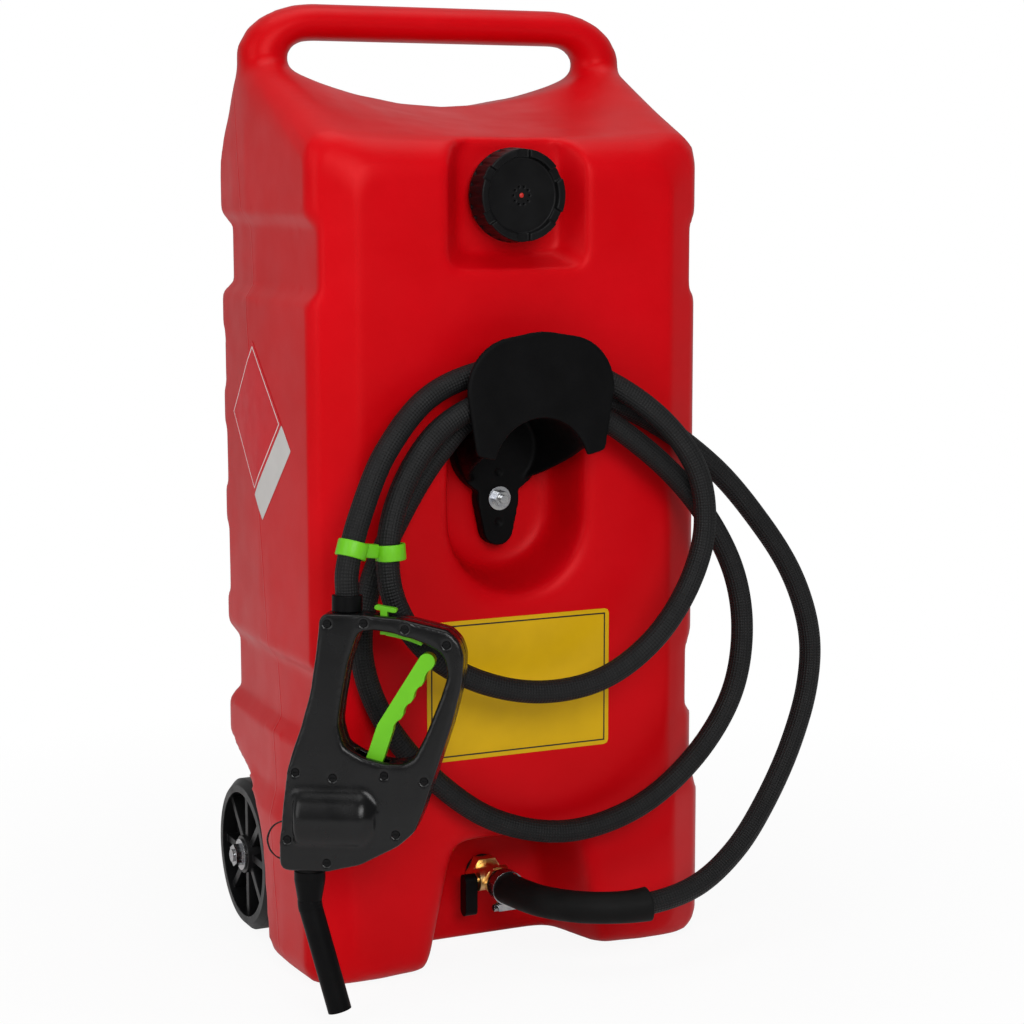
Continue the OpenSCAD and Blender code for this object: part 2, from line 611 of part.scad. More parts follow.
module wheel_right() color(black) translate([wheel_in, 0, 0]) wheel();
module wheel_left() color(black) mirror([1, 0, 0]) translate([wheel_in, 0, 0]) wheel();
axle_nut_t = 7;
axle_end = wheel_out + washer_t + axle_nut_t + 2;
module axle() color(zinc) along_x(-axle_end, wheel_y, wheel_r) cylinder(r = axle_r, h = 2 * axle_end);
module wheel_spacers() color(zinc) both_sides() along_x(well_in, wheel_y, wheel_r)
    ring(axle_r + 5, axle_r + shaft_fit, wheel_in - well_in + 1 - fit);
module wheel_washers() color(zinc) both_sides() along_x(wheel_out, wheel_y, wheel_r)
    ring(axle_r + 9, axle_r + shaft_fit, washer_t);
module axle_nuts() color(zinc) both_sides() along_x(wheel_out + washer_t, wheel_y, wheel_r) difference() {
    hexagon(2 * axle_r + 7, axle_nut_t);
    translate([0, 0, -eps]) cylinder(r = axle_r + shaft_fit, h = axle_nut_t + 2 * eps);
}

// Pump: its own plane has X to the right, Z up and -Y out of the front, and hangs from the end of the hose
pump_yaw = -31;
pump_lean = 4;
ferrule_at = [-32, 141];
hose_end = route[len(route) - 1];
module in_pump() translate(hose_end) rotate([-pump_lean, 0, pump_yaw])
    translate([-ferrule_at[0], 0, -ferrule_at[1]]) children();
// Flat piece in the pump's plane, from depth front to depth back
module plate(front, back) translate([0, back, 0]) rotate([90, 0, 0]) linear_extrude(back - front) children();
// Round piece across the pump's plane, upright in it, or along it
module across(at, r, front, back) translate([at[0], back, at[1]]) rotate([90, 0, 0]) cylinder(r = r, h = back - front);
module upright(u, low, high, r) translate([u, 0, low]) cylinder(r = r, h = high - low);
module lengthwise(left, right, w, r) translate([left, 0, w]) rotate([0, 90, 0]) cylinder(r = r, h = right - left);

half_t = pump_t / 2;
pivot = [-16, -20];
lever_angle = 63.4;
squeeze = 22;
loop_r = lever_len + 7.5;
barrel_w = -48.5;
barrel_left = -74;
barrel_right = -4;
port_u = -64;
body_low = -94.5;
screw_places = [[-46, 118], [-15, 119], [20, 114.5], [55.5, 102], [-73, -9], [-41, -13], [3, -10], [37, -14],
    [-80, -67], [13, -60], [-46, -86]];
boss_r = screw_head / 2 + 1;
screw_r = screw_head / 4;
head_t = 2.5;

// Corners of the body and of its finger loop, each rounded by corner_r
corner_r = 8;
body_corners = [[-45, 119], [-12, 118], [15.5, 115.5], [53, 107], [59, 101], [62, 92], [60.6, 70], [52, 35],
    [38.3, -7.3], [27.8, -39.7], [21.8, -54], [9.7, -64.7], [-20.8, -80.5], [-47, -86.5], [-79, -86.5], [-78.8, -74],
    [-76.4, -41.4], [-72.9, -11.8], [-69.2, 3.5], [-61.5, 25.5], [-53, 56.5], [-48, 91.5]];
loop_corners = [[47.5, 84], [40, 98], [20, 112], [-4, 112], [-14, 104], [-21, 82], [-26.3, 50.5], [-28.4, 33],
    [-25, 19.5], [-13, 12.5], [4.5, 8], [17, 8], [22, 11], [31, 29], [43, 60], [48, 76]];
module pump_profile(t) difference() {
    offset(r = corner_r - t) polygon(body_corners);
    intersection() {
        offset(r = corner_r + t) polygon(loop_corners);
        translate(pivot) circle(r = loop_r + t, $fn = 96);
    }
}
function lever_dir(turn) = [cos(lever_angle + turn), sin(lever_angle + turn)];
module lever_swept(r) hull() for (turn = [-1, squeeze + 1]) {
    translate(pivot) circle(r = r);
    translate(pivot + 60 * lever_dir(turn)) circle(r = r);
}
loop_ring = [-84, -72];
module hang_ring() difference() {
    translate(loop_ring) circle(r = 19);
    translate(loop_ring) circle(r = 15.5);
    translate([loop_ring[0] - 0.8, loop_ring[1] - 20]) square(40);
}
ferrule_stem_r = 7.7;
ferrule_low = 113;
ferrule_seat = 127.2;
nipple_in_r = 7;
latch_slot = 5;
latch_at = [0, 117];

// Barrel drawn in by t, with a bevel at its left end and a taper at its right end
pump_span = 160;
barrel_bevel = 2.5;
barrel_taper = [7, 10];
module barrel_form(t, bevel) translate([0, 0, barrel_w]) rotate([0, 90, 0]) rotate_extrude() polygon([
    [0, barrel_left + t], [barrel_r - t - bevel, barrel_left + t], [barrel_r - t, barrel_left + t + bevel],
    [barrel_r - t, barrel_right - t - barrel_taper[1]], [barrel_r - t - barrel_taper[0], barrel_right - t],
    [0, barrel_right - t]]);

// One half of the body: a tray with a bulging barrel, screw bosses and its openings
module pump_half(front) let (f = front ? -1 : 1, lo = front ? -half_t : 0, hi = front ? 0 : half_t,
    in_lo = front ? -half_t + shell_t : 0, in_hi = front ? 0 : half_t - shell_t) difference() {
    union() {
        difference() {
            union() {
                plate(lo, hi) pump_profile(0);
                intersection() {
                    barrel_form(0, barrel_bevel);
                    translate([-pump_span, front ? -pump_span : 0, -pump_span]) cube([2 * pump_span, pump_span, 2 * pump_span]);
                }
            }
            plate(front ? in_lo : -1, front ? 1 : in_hi) pump_profile(shell_t);
            barrel_form(shell_t, 0);
        }
        for (p = screw_places) across(p, boss_r, front ? -half_t + shell_t - eps : 0, front ? 0 : half_t - shell_t + eps);
        if (!front) plate(0, 3.5) hang_ring();
    }
    plate(-lever_t / 2 - 0.7, lever_t / 2 + 0.7) lever_swept(9.5);
    plate(-5, 5) translate([-latch_slot, 104]) square([2 * latch_slot + 2, 30]);
    upright(ferrule_at[0], ferrule_low - 6, ferrule_seat + 1, ferrule_stem_r + fit);
    upright(port_u, body_low - 1, body_low + 8, nipple_in_r + fit);
    across(pivot, 3 + shaft_fit, in_lo - 1.5, in_hi + 1.5);
    across(latch_at, 1.5 + shaft_fit, -8, 8);
    for (p = screw_places) {
        across(p, screw_r + 0.2, front ? -half_t - 1 : -1, front ? 1 : half_t - shell_t - 2);
        if (front) across(p, screw_head / 2 + 0.2, -half_t - 1, -half_t + head_t);
    }
}
module pump_front_shell() color(black) in_pump() pump_half(true);
module pump_rear_shell() color(black) in_pump() pump_half(false);
module pump_screws() color(zinc) in_pump() for (p = screw_places) difference() {
    union() {
        across(p, screw_head / 2, -half_t, -half_t + head_t);
        across(p, screw_r, -half_t + head_t - eps, half_t - shell_t - 2.5);
    }
    translate([p[0] - 2, -half_t - 1, p[1] - 0.4]) cube([4, 2, 0.8]);
}

// Feed from the hose: a ferrule on top, then a tube down through the grip
module hose_ferrule() color(black) in_pump() difference() {
    union() {
        upright(ferrule_at[0], ferrule_seat, ferrule_at[1] - fit, 13);
        upright(ferrule_at[0], ferrule_low, ferrule_seat + eps, ferrule_stem_r);
    }
    upright(ferrule_at[0], ferrule_low - 1, ferrule_at[1] + 1, 4);
}
feed_r = 5;
feed_bore = 3.5;
port_high = -13;
feed_route = [[ferrule_at[0], ferrule_low - fit], [-34.5, 104], [-41.5, 84], [-47.5, 54], [-53.5, 28], [-61, 5], [port_u, -5],
    [port_u, port_high + fit]];
function feed_dir(i) = let (n = len(feed_route) - 1) unit(feed_route[min(i + 1, n)] - feed_route[max(i - 1, 0)]);
function feed_ring(i, r) = let (n = len(feed_route) - 1, d = i == 0 || i == n ? [0, -1] : feed_dir(i))
    [for (k = [0 : 11]) let (a = 30 * k) [feed_route[i][0] + r * cos(a) * d[1], r * sin(a),
        feed_route[i][1] - r * cos(a) * d[0]]];
module grip_tube() color(rubber) in_pump() let (n = len(feed_route) - 1,
    rings = concat([for (i = [0 : n]) feed_ring(i, feed_r)], [for (i = [n : -1 : 0]) feed_ring(i, feed_bore)]))
    polyhedron(points = [for (r = rings, p = r) p],
        faces = [for (f = pipe_faces(len(rings), 12)) [f[2], f[1], f[0]]]);

// Cylinder with a ball valve above and below its chamber
cyl_left = barrel_left + shell_t + fit;
cyl_right = -36;
cyl_out = barrel_r - shell_t - 0.15;
end_t = 2.5;
rod_r = 5;
port_r = 2.8;
ball_pocket = 4;
check_ball = 3.6;
port_low = body_low + 10;
pocket_h = 9;
inlet_seat = port_high - 3 - pocket_h;
delivery_seat = port_low + 2.5;
ball_lift = sqrt(check_ball * check_ball - port_r * port_r) + 0.05;
module pump_cylinder() color(brass) in_pump() difference() {
    union() {
        lengthwise(cyl_left, cyl_right, barrel_w, cyl_out);
        upright(port_u, barrel_w, port_high, 7);
        upright(port_u, port_low, barrel_w, 7);
    }
    lengthwise(cyl_left + end_t, cyl_right - end_t, barrel_w, cylinder_r);
    lengthwise(cyl_right - end_t - 1, cyl_right + 1, barrel_w, rod_r + fit);
    upright(port_u, port_low - 1, port_high + 1, port_r);
    upright(port_u, inlet_seat, inlet_seat + pocket_h, ball_pocket);
    upright(port_u, delivery_seat, delivery_seat + pocket_h, ball_pocket);
}
module inlet_valve() color(zinc) in_pump() translate([port_u, 0, inlet_seat + ball_lift]) sphere(r = check_ball);
module delivery_valve() color(zinc) in_pump() translate([port_u, 0, delivery_seat + ball_lift]) sphere(r = check_ball);

// Lever, piston and return spring
foot_len = 28.5;
foot_swing = 26.6;
foot_r = 4;
foot_at = pivot - foot_len * [sin(foot_swing), cos(foot_swing)];
tip_r = 7;
lever_points = [pivot, pivot + [10.5, 26], pivot + [17.5, 48], pivot + (lever_len - tip_r) * lever_dir(0)];
lever_radii = [7, 7.2, 7.2, tip_r];
grip_dir = unit(lever_points[3] - lever_points[2]);
grip_r = 11;
module lever() color(lime) in_pump() difference() {
    union() {
        plate(-lever_t / 2, lever_t / 2) difference() {
            union() {
                for (i = [0 : 2]) hull() for (k = [i, i + 1])
                    translate(lever_points[k]) circle(r = lever_radii[k]);
                hull() {
                    translate(pivot) circle(r = 6);
                    translate(foot_at) circle(r = 3.2);
                }
                translate(foot_at) circle(r = foot_r);
            }
            for (d = [8, 25, 42, 59]) translate(lever_points[2] + d * grip_dir + (grip_r + 5.2) * [grip_dir[1], -grip_dir[0]])
                circle(r = grip_r);
        }
    }
    across(pivot, 3 + shaft_fit, -half_t, half_t);
}
module lever_pin() color(zinc) in_pump() across(pivot, 3, -half_t + shell_t - 1, half_t - shell_t + 1);
piston_left = cyl_left + end_t + 8;
piston_t = 6;
fork_gap = 0.4;
fork_top = foot_at[1] + 0.2;
fork_left = foot_at[0] - foot_r - fork_gap - 2;
module piston() color(black) in_pump() difference() {
    union() {
        lengthwise(piston_left, piston_left + piston_t, barrel_w, cylinder_r - fit);
        lengthwise(piston_left, fork_left + eps, barrel_w, rod_r);
        translate([fork_left, -9, barrel_w - 9]) cube([2 * foot_r + 2 * fork_gap + 6, 18, fork_top - barrel_w + 9]);
    }
    translate([piston_left + 1.5, 0, barrel_w]) rotate([0, 90, 0]) ring(cylinder_r + 1, cylinder_r - 2.6, 3);
    translate([foot_at[0] - foot_r - fork_gap, -10, barrel_w - 4.6]) cube([2 * (foot_r + fork_gap), 20, 20]);
}
module piston_ring() color(rubber) in_pump() translate([piston_left + 1.5 + shaft_fit, 0, barrel_w]) rotate([0, 90, 0])
    ring(cylinder_r - shaft_fit, cylinder_r - 2.6 + shaft_fit, 3 - 2 * shaft_fit);
spring_r = 9;
spring_wire = 0.9;
spring_turns = 4;
spring_steps = 64;
spring_from = piston_left + piston_t + spring_wire + 0.1;
spring_to = cyl_right - end_t - spring_wire - 0.1;
module return_spring() color(zinc) in_pump() skin([for (i = [0 : spring_steps]) let (
    a = 360 * spring_turns * i / spring_steps, u = spring_from + (spring_to - spring_from) * i / spring_steps)
    [for (k = [0 : 5]) let (b = 60 * k, r = spring_r + spring_wire * cos(b))
        [u + spring_wire * sin(b), r * cos(a), barrel_w + r * sin(a)]]]);

// Lever lock: a tab on top of the frame with an arm that reaches over the lever's tip
latch_t = 8;
arm_in = lever_len + 3;
arm_out = arm_in + 4;
arm_low = pivot[1] + sqrt(arm_in * arm_in - 169) + 0.2;
module lock_latch() color(lime) in_pump() difference() {
    plate(-latch_t / 2, latch_t / 2) {
        hull() for (p = [[-6, 131, 2], [9, 128.5, 2]]) translate([p[0], p[1]]) circle(r = p[2]);
        translate([-3, 112]) square([6, 18]);
        translate([-3, arm_low]) square([6, 8]);
        intersection() {
            translate(pivot) difference() {
                circle(r = arm_out, $fn = 96);
                circle(r = arm_in, $fn = 96);
            }
            translate(pivot) polygon([[0, 0], pump_span * [cos(68), sin(68)], pump_span * [cos(82), sin(82)]]);
        }
    }
    across(latch_at, 1.5 + shaft_fit, -half_t, half_t);
}
module latch_pin() color(zinc) in_pump() across(latch_at, 1.5, -8, 8);

// Spout: a collar under the body, a bend and a straight nose
spout_r = spout_d / 2;
spout_bore = spout_r - 2.2;
seal_t = 2.4;
collar_top = body_low - seal_t - 0.2;
collar_h = 26;
spout_turn = 16;
spout_back = 6;
bend_r = 25;
module spout_seal() color(rubber) in_pump() translate([port_u, 0, body_low - seal_t - 0.1]) ring(12, nipple_in_r + fit, seal_t);
bend_low = collar_top - collar_h;
nose = [port_u + bend_r * (1 - cos(spout_turn)), bend_low - bend_r * sin(spout_turn)];
bend_lip = 0.3;
module spout_bend(r) translate([port_u + bend_r, 0, bend_low]) rotate([90, 0, 0]) rotate(180)
    rotate_extrude(angle = spout_turn) translate([bend_r, 0]) circle(r = r);
module spout_nose(r, from, to) translate([nose[0], 0, nose[1]]) rotate([0, 180 - spout_turn, 0])
    translate([0, 0, from]) cylinder(r = r, h = to - from);
module spout() color(black) in_pump() difference() {
    union() {
        upright(port_u, collar_top - eps, port_low - fit, nipple_in_r);
        translate([port_u, 0, collar_top - 8]) cylinder(r = 13.4, h = 8);
        translate([port_u, 0, bend_low - 2]) cylinder(r1 = spout_r - bend_lip, r2 = 13.4, h = collar_h - 6);
        spout_bend(spout_r + bend_lip);
        spout_nose(spout_r, -3, spout_len - spout_back);
    }
    upright(port_u, collar_top - 5, port_low + 1, 4);
    translate([port_u, 0, bend_low - 2]) cylinder(r1 = spout_bore - bend_lip, r2 = 3.6, h = collar_h);
    spout_bend(spout_bore);
    spout_nose(spout_bore - bend_lip, -3, spout_len);
}

tank();
filler_liner();
filler_cap();
hook();
hook_stud();
hook_washer();
hook_nut();
outlet_gasket();
outlet_valve();
valve_plug();
valve_lever();
hose_barb();
hose_clamp();
hose_sleeve();
hose();
hose_clip();
axle();
wheel_left();
wheel_right();
wheel_spacers();
wheel_washers();
axle_nuts();
pump_front_shell();
pump_rear_shell();
pump_screws();
hose_ferrule();
grip_tube();
pump_cylinder();
piston();
piston_ring();
return_spring();
inlet_valve();
delivery_valve();
lever();
lever_pin();
lock_latch();
latch_pin();
spout_seal();
spout();
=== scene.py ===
# %% [markdown]
# # Fuel caddy
# A red blow-moulded tank on two wheels, with a hand pump on a hose that hangs over a hook. The CAD
# model gives every place and size. This lesson adds smooth skins, a finer hose, labels and finishes.

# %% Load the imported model
import json
import math

import bpy
from mathutils import Matrix, Vector
from mathutils.bvhtree import BVHTree

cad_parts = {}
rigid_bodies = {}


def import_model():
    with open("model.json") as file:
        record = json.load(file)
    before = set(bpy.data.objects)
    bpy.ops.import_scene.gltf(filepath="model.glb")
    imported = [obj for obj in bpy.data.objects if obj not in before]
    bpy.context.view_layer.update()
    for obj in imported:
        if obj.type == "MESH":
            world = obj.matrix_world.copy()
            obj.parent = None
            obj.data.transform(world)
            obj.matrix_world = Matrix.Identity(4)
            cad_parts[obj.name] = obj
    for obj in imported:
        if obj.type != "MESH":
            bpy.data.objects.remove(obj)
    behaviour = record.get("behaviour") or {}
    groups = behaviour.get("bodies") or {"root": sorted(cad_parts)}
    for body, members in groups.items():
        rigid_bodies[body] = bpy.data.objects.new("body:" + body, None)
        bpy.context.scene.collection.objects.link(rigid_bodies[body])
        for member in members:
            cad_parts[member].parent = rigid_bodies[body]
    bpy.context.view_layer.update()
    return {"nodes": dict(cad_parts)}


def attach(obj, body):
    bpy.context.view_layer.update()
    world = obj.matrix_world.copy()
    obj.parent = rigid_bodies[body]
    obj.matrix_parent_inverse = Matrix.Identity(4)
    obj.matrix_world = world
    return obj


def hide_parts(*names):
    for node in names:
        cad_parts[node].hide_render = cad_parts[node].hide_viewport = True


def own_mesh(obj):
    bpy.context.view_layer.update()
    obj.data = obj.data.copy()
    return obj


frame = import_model()
nodes = frame["nodes"]


# %% [markdown]
# ## Camera
# The photograph looks at the front from the left, a little from above, through a long lens. The place
# was found by matching the tank's corners, so the camera is typed in as numbers.

# %% Camera
camera_data = bpy.data.cameras.new("photo_camera")
camera_data.lens = 81.9
camera_data.sensor_width = 36.0
camera = bpy.data.objects.new("photo_camera", camera_data)
camera.location = (-0.8817, -2.0093, 0.727)
camera.rotation_euler = (math.radians(81.65), 0.0, math.radians(-25.0))
bpy.context.scene.collection.objects.link(camera)
bpy.context.scene.camera = camera
bpy.context.scene.view_settings.view_transform = "Standard"
print("camera looks from", [round(v, 3) for v in camera.location])


# %% [markdown]
# ## Helpers for shaping
# Operators act on whatever is selected, and the loader leaves the CAD nodes selected. So every step
# first deselects everything and then picks one object. The other helpers apply a modifier, round edges,
# put an object's place into its mesh, turn its faces outwards, smooth its look and give it a finish.
# Softening takes a weight for each point, which ease lets rise without a visible step.

# %% Shaping helpers
def only(piece):
    if bpy.context.object and bpy.context.object.mode != "OBJECT":
        bpy.ops.object.mode_set(mode="OBJECT")
    bpy.ops.object.select_all(action="DESELECT")
    piece.select_set(True)
    bpy.context.view_layer.objects.active = piece


def apply_modifier(piece, kind, **settings):
    only(piece)
    modifier = piece.modifiers.new(kind.lower(), kind)
    for key, value in settings.items():
        setattr(modifier, key, value)
    bpy.ops.object.modifier_apply(modifier=modifier.name)


def round_edges(piece, width, segments, degrees):
    limit = math.radians(degrees)
    apply_modifier(piece, "BEVEL", width=width, segments=segments, limit_method="ANGLE", angle_limit=limit)


def settle(piece):
    only(piece)
    bpy.ops.object.transform_apply(location=True, rotation=True, scale=True)


def face_outwards(piece):
    only(piece)
    bpy.ops.object.mode_set(mode="EDIT")
    bpy.ops.mesh.select_all(action="SELECT")
    bpy.ops.mesh.normals_make_consistent(inside=False)
    bpy.ops.object.mode_set(mode="OBJECT")


def smooth_look(piece, degrees=40):
    only(piece)
    bpy.ops.object.shade_smooth_by_angle(angle=math.radians(degrees))


def coat(piece, finish):
    piece.data.materials.clear()
    piece.data.materials.append(finish)


def ease(value, start, end):
    share = min(max((value - start) / (end - start), 0.0), 1.0)
    return share * share * (3.0 - 2.0 * share)


def fade(value, start, end):
    return 1 - ease(value, start, end)


def soften(piece, weight_of, passes=50):
    group = piece.vertex_groups.new(name="soft")
    for point in piece.data.vertices:
        group.add([point.index], weight_of(point.co), "REPLACE")
    apply_modifier(piece, "SMOOTH", factor=0.5, iterations=passes, vertex_group="soft")
    piece.vertex_groups.clear()


def triangles(piece):
    return sum(len(face.vertices) - 2 for face in piece.data.polygons)


# %% [markdown]
# ## Helpers for finishes
# A finish is a small graph of nodes that ends in one shader. Each helper adds one kind of node and
# links it, so that the finishes further down read as short recipes. Most patterns are noise on the
# object's own coordinates, because those stay with the piece when it moves.

# %% Finish helpers
def new_finish(name):
    finish = bpy.data.materials.new(name)
    finish.use_nodes = True
    tree = finish.node_tree
    shader = tree.nodes["Principled BSDF"]
    place = tree.nodes.new("ShaderNodeTexCoord")
    return finish, tree, shader, place


def noise(tree, place, scale, detail=3.0):
    grain = tree.nodes.new("ShaderNodeTexNoise")
    grain.inputs["Scale"].default_value = scale
    grain.inputs["Detail"].default_value = detail
    tree.links.new(place.outputs["Object"], grain.inputs["Vector"])
    return grain.outputs["Fac"]


def spread(tree, value, low, high, start=0.3, end=0.7):
    spreader = tree.nodes.new("ShaderNodeMapRange")
    spreader.inputs["From Min"].default_value = start
    spreader.inputs["From Max"].default_value = end
    spreader.inputs["To Min"].default_value = low
    spreader.inputs["To Max"].default_value = high
    tree.links.new(value, spreader.inputs["Value"])
    return spreader.outputs["Result"]


def calc(tree, operation, first, second=None):
    step = tree.nodes.new("ShaderNodeMath")
    step.operation = operation
    for socket, value in zip(step.inputs, (first, second)):
        if isinstance(value, (int, float)):
            socket.default_value = value
        elif value is not None:
            tree.links.new(value, socket)
    return step.outputs["Value"]


def axes_of(tree, vector):
    split = tree.nodes.new("ShaderNodeSeparateXYZ")
    tree.links.new(vector, split.inputs["Vector"])
    return split.outputs


def blend_colours(tree, amount, first, second):
    mixer = tree.nodes.new("ShaderNodeMix")
    mixer.data_type = "RGBA"
    colour_sockets = [socket for socket in mixer.inputs if socket.type == "RGBA"]
    for socket, colour in zip(colour_sockets, (first, second)):
        if isinstance(colour, tuple):
            socket.default_value = (*colour, 1.0)
        else:
            tree.links.new(colour, socket)
    tree.links.new(amount, mixer.inputs["Factor"])
    return [socket for socket in mixer.outputs if socket.type == "RGBA"][0]


def bump(tree, height, depth, below=None):
    lift = tree.nodes.new("ShaderNodeBump")
    lift.inputs["Strength"].default_value = 1.0
    lift.inputs["Distance"].default_value = depth
    tree.links.new(height, lift.inputs["Height"])
    if below is not None:
        tree.links.new(below, lift.inputs["Normal"])
    return lift.outputs["Normal"]


def soft_edge(tree, radius):
    rounding = tree.nodes.new("ShaderNodeBevel")
    rounding.samples = 6
    rounding.inputs["Radius"].default_value = radius
    return rounding.outputs["Normal"]


# %% [markdown]
# ## Moulded finishes
# Every plastic and rubber here is a plain base colour that varies a little over the surface. A coarse
# noise moves the colour and a second one the roughness, so that highlights break up softly. A fine
# noise goes through Bump as the grain of the mould. Plastics on pieces that keep their CAD edges also
# get an edge radius, which only rounds the look of the edge. A real bevel on so many small edges would
# cost more than it shows.

# %% Moulded finish
def moulded(name, dark, light, rough, gloss, grain_size, grain_depth, wave_size=0.03, edge=0.0):
    finish, tree, shader, place = new_finish(name)
    shader.inputs["Specular IOR Level"].default_value = gloss
    tint = spread(tree, noise(tree, place, 1 / wave_size), 0.0, 1.0)
    tree.links.new(blend_colours(tree, tint, dark, light), shader.inputs["Base Color"])
    sheen = spread(tree, noise(tree, place, 1.7 / wave_size, 4.0), rough[0], rough[1])
    tree.links.new(sheen, shader.inputs["Roughness"])
    below = soft_edge(tree, edge) if edge else None
    normal = bump(tree, noise(tree, place, 1 / grain_size, 2.0), grain_depth, below)
    tree.links.new(normal, shader.inputs["Normal"])
    return finish


# %% Plastics and rubber
black_plastic = moulded(
    "black_plastic", dark=(0.0025, 0.0025, 0.0027), light=(0.004, 0.004, 0.0043), rough=(0.34, 0.46),
    gloss=0.06, grain_size=0.0011, grain_depth=0.00008, edge=0.0009,
)
cap_plastic = moulded(
    "cap_plastic", dark=(0.003, 0.003, 0.0032), light=(0.005, 0.005, 0.0054), rough=(0.32, 0.44),
    gloss=0.12, grain_size=0.0011, grain_depth=0.00006,
)
hook_plastic = moulded(
    "hook_plastic", dark=(0.003, 0.003, 0.0032), light=(0.0045, 0.0045, 0.0048), rough=(0.42, 0.55),
    gloss=0.045, grain_size=0.0014, grain_depth=0.0001,
)
pump_plastic = moulded(
    "pump_plastic", dark=(0.003, 0.003, 0.0032), light=(0.005, 0.005, 0.0053), rough=(0.2, 0.29),
    gloss=0.28, grain_size=0.0010, grain_depth=0.00005,
)
wheel_plastic = moulded(
    "wheel_plastic", dark=(0.004, 0.004, 0.0043), light=(0.0065, 0.0065, 0.007), rough=(0.32, 0.46),
    gloss=0.3, grain_size=0.0016, grain_depth=0.0001, edge=0.0012,
)
black_rubber = moulded(
    "black_rubber", dark=(0.006, 0.006, 0.006), light=(0.012, 0.012, 0.012), rough=(0.6, 0.75),
    gloss=0.12, grain_size=0.0012, grain_depth=0.00012, wave_size=0.02,
)
green_plastic = moulded(
    "green_plastic", dark=(0.115, 0.44, 0.006), light=(0.14, 0.50, 0.009), rough=(0.36, 0.48),
    gloss=0.3, grain_size=0.0012, grain_depth=0.00005, edge=0.0009,
)
red_button = moulded(
    "red_button", dark=(0.40, 0.012, 0.008), light=(0.46, 0.018, 0.012), rough=(0.35, 0.45),
    gloss=0.3, grain_size=0.0012, grain_depth=0.00003, wave_size=0.01,
)
dark_screw = moulded(
    "dark_screw", dark=(0.003, 0.003, 0.0032), light=(0.005, 0.005, 0.0054), rough=(0.34, 0.46),
    gloss=0.12, grain_size=0.0008, grain_depth=0.00003, wave_size=0.01, edge=0.0004,
)
sleeve_rubber = moulded(
    "sleeve_rubber", dark=(0.004, 0.004, 0.004), light=(0.0065, 0.0065, 0.0065), rough=(0.5, 0.62),
    gloss=0.09, grain_size=0.0013, grain_depth=0.00007,
)
print("plastic and rubber finishes made")


# %% [markdown]
# ## Metal finishes
# The valve is brass, and the nuts, washers and pins are zinc-plated steel. Both vary in patches, zinc
# between bluish and grey and brass between darker and lighter. A fine noise through Bump stands for
# small scratches, and an edge radius catches the light along the edges.

# %% Metal finishes
scratch_scale = 900.0


def metal(name, dark, light, rough, patch_size, scratch_depth, edge):
    finish, tree, shader, place = new_finish(name)
    shader.inputs["Metallic"].default_value = 1.0
    patch = spread(tree, noise(tree, place, 1 / patch_size, 4.0), 0.0, 1.0)
    tree.links.new(blend_colours(tree, patch, dark, light), shader.inputs["Base Color"])
    sheen = spread(tree, noise(tree, place, 2.5 / patch_size, 4.0), rough[0], rough[1])
    tree.links.new(sheen, shader.inputs["Roughness"])
    normal = bump(tree, noise(tree, place, scratch_scale, 2.0), scratch_depth, soft_edge(tree, edge))
    tree.links.new(normal, shader.inputs["Normal"])
    return finish


brass = metal(
    "brass", dark=(0.86, 0.60, 0.26), light=(0.93, 0.67, 0.31), rough=(0.28, 0.36),
    patch_size=0.02, scratch_depth=0.000006, edge=0.0006,
)
zinc_steel = metal(
    "zinc_steel", dark=(0.30, 0.31, 0.34), light=(0.46, 0.46, 0.45), rough=(0.16, 0.28),
    patch_size=0.005, scratch_depth=0.00001, edge=0.0004,
)
print("metal finishes made")


# %% [markdown]
# ## The hose
# The hose is a black rubber hose with a fine woven look. It leaves the valve, loops over the hook and
# ends in the pump. A curve could stay a curve, but a mesh tube keeps a map of its length, and the weave
# needs that map. So a smooth line is drawn through the route's points, a round section is swept along
# it, and it is made a mesh.

# %% Hose route
route_mm = [
    (0, -92, 66), (0, -116, 66), (13, -162, 66), (46, -196, 66), (94, -209, 67),
    (148, -204, 76), (199, -187, 100), (244, -165, 136), (280, -150, 184), (300, -145, 238),
    (301, -145, 290), (282, -145, 345), (246, -145, 398), (192, -145, 456), (120, -145, 505),
    (42, -145, 531), (-34, -145, 524), (-84, -145, 481), (-122, -146, 426), (-150, -147, 368),
    (-158, -147, 308), (-138, -148, 248), (-94, -151, 192), (-36, -156, 148), (34, -161, 130),
    (104, -164, 144), (162, -166, 184), (202, -167, 240), (214, -167, 302), (202, -167, 364),
    (164, -167, 426), (110, -167, 478), (44, -166.5, 519), (-26, -166.5, 531), (-84, -166.5, 510),
    (-123, -173, 469), (-145, -181, 418), (-143, -184, 364), (-113, -185, 316), (-64, -186, 284),
    (-4, -188, 269), (56, -190, 276), (106, -192, 307), (142, -192, 354), (159, -191, 408),
    (150, -187, 464), (112, -173, 514), (48, -157, 551), (-28, -156, 555), (-94, -158, 535),
    (-142, -170, 490), (-172, -182, 436), (-186, -188, 394), (-187, -189, 371),
]
hose_diameter = 0.0205
span_steps = 24
line_step = 0.003
route = [Vector(point) / 1000 for point in route_mm]


def route_point(index, share):
    before = route[index - 1] if index > 0 else 2 * route[0] - route[1]
    after = route[index + 2] if index + 2 < len(route) else 2 * route[-1] - route[-2]
    start, end = route[index], route[index + 1]
    return 0.5 * (
        2 * start
        + (end - before) * share
        + (2 * before - 5 * start + 4 * end - after) * share**2
        + (3 * start - before - 3 * end + after) * share**3
    )


def even_line(points, step):
    line, left = [points[0].copy()], step
    for start, end in zip(points, points[1:]):
        gap = (end - start).length
        while gap >= left > 0:
            start = start.lerp(end, left / gap)
            line.append(start.copy())
            gap, left = (end - start).length, step
        left -= gap
    line.append(points[-1].copy())
    return line


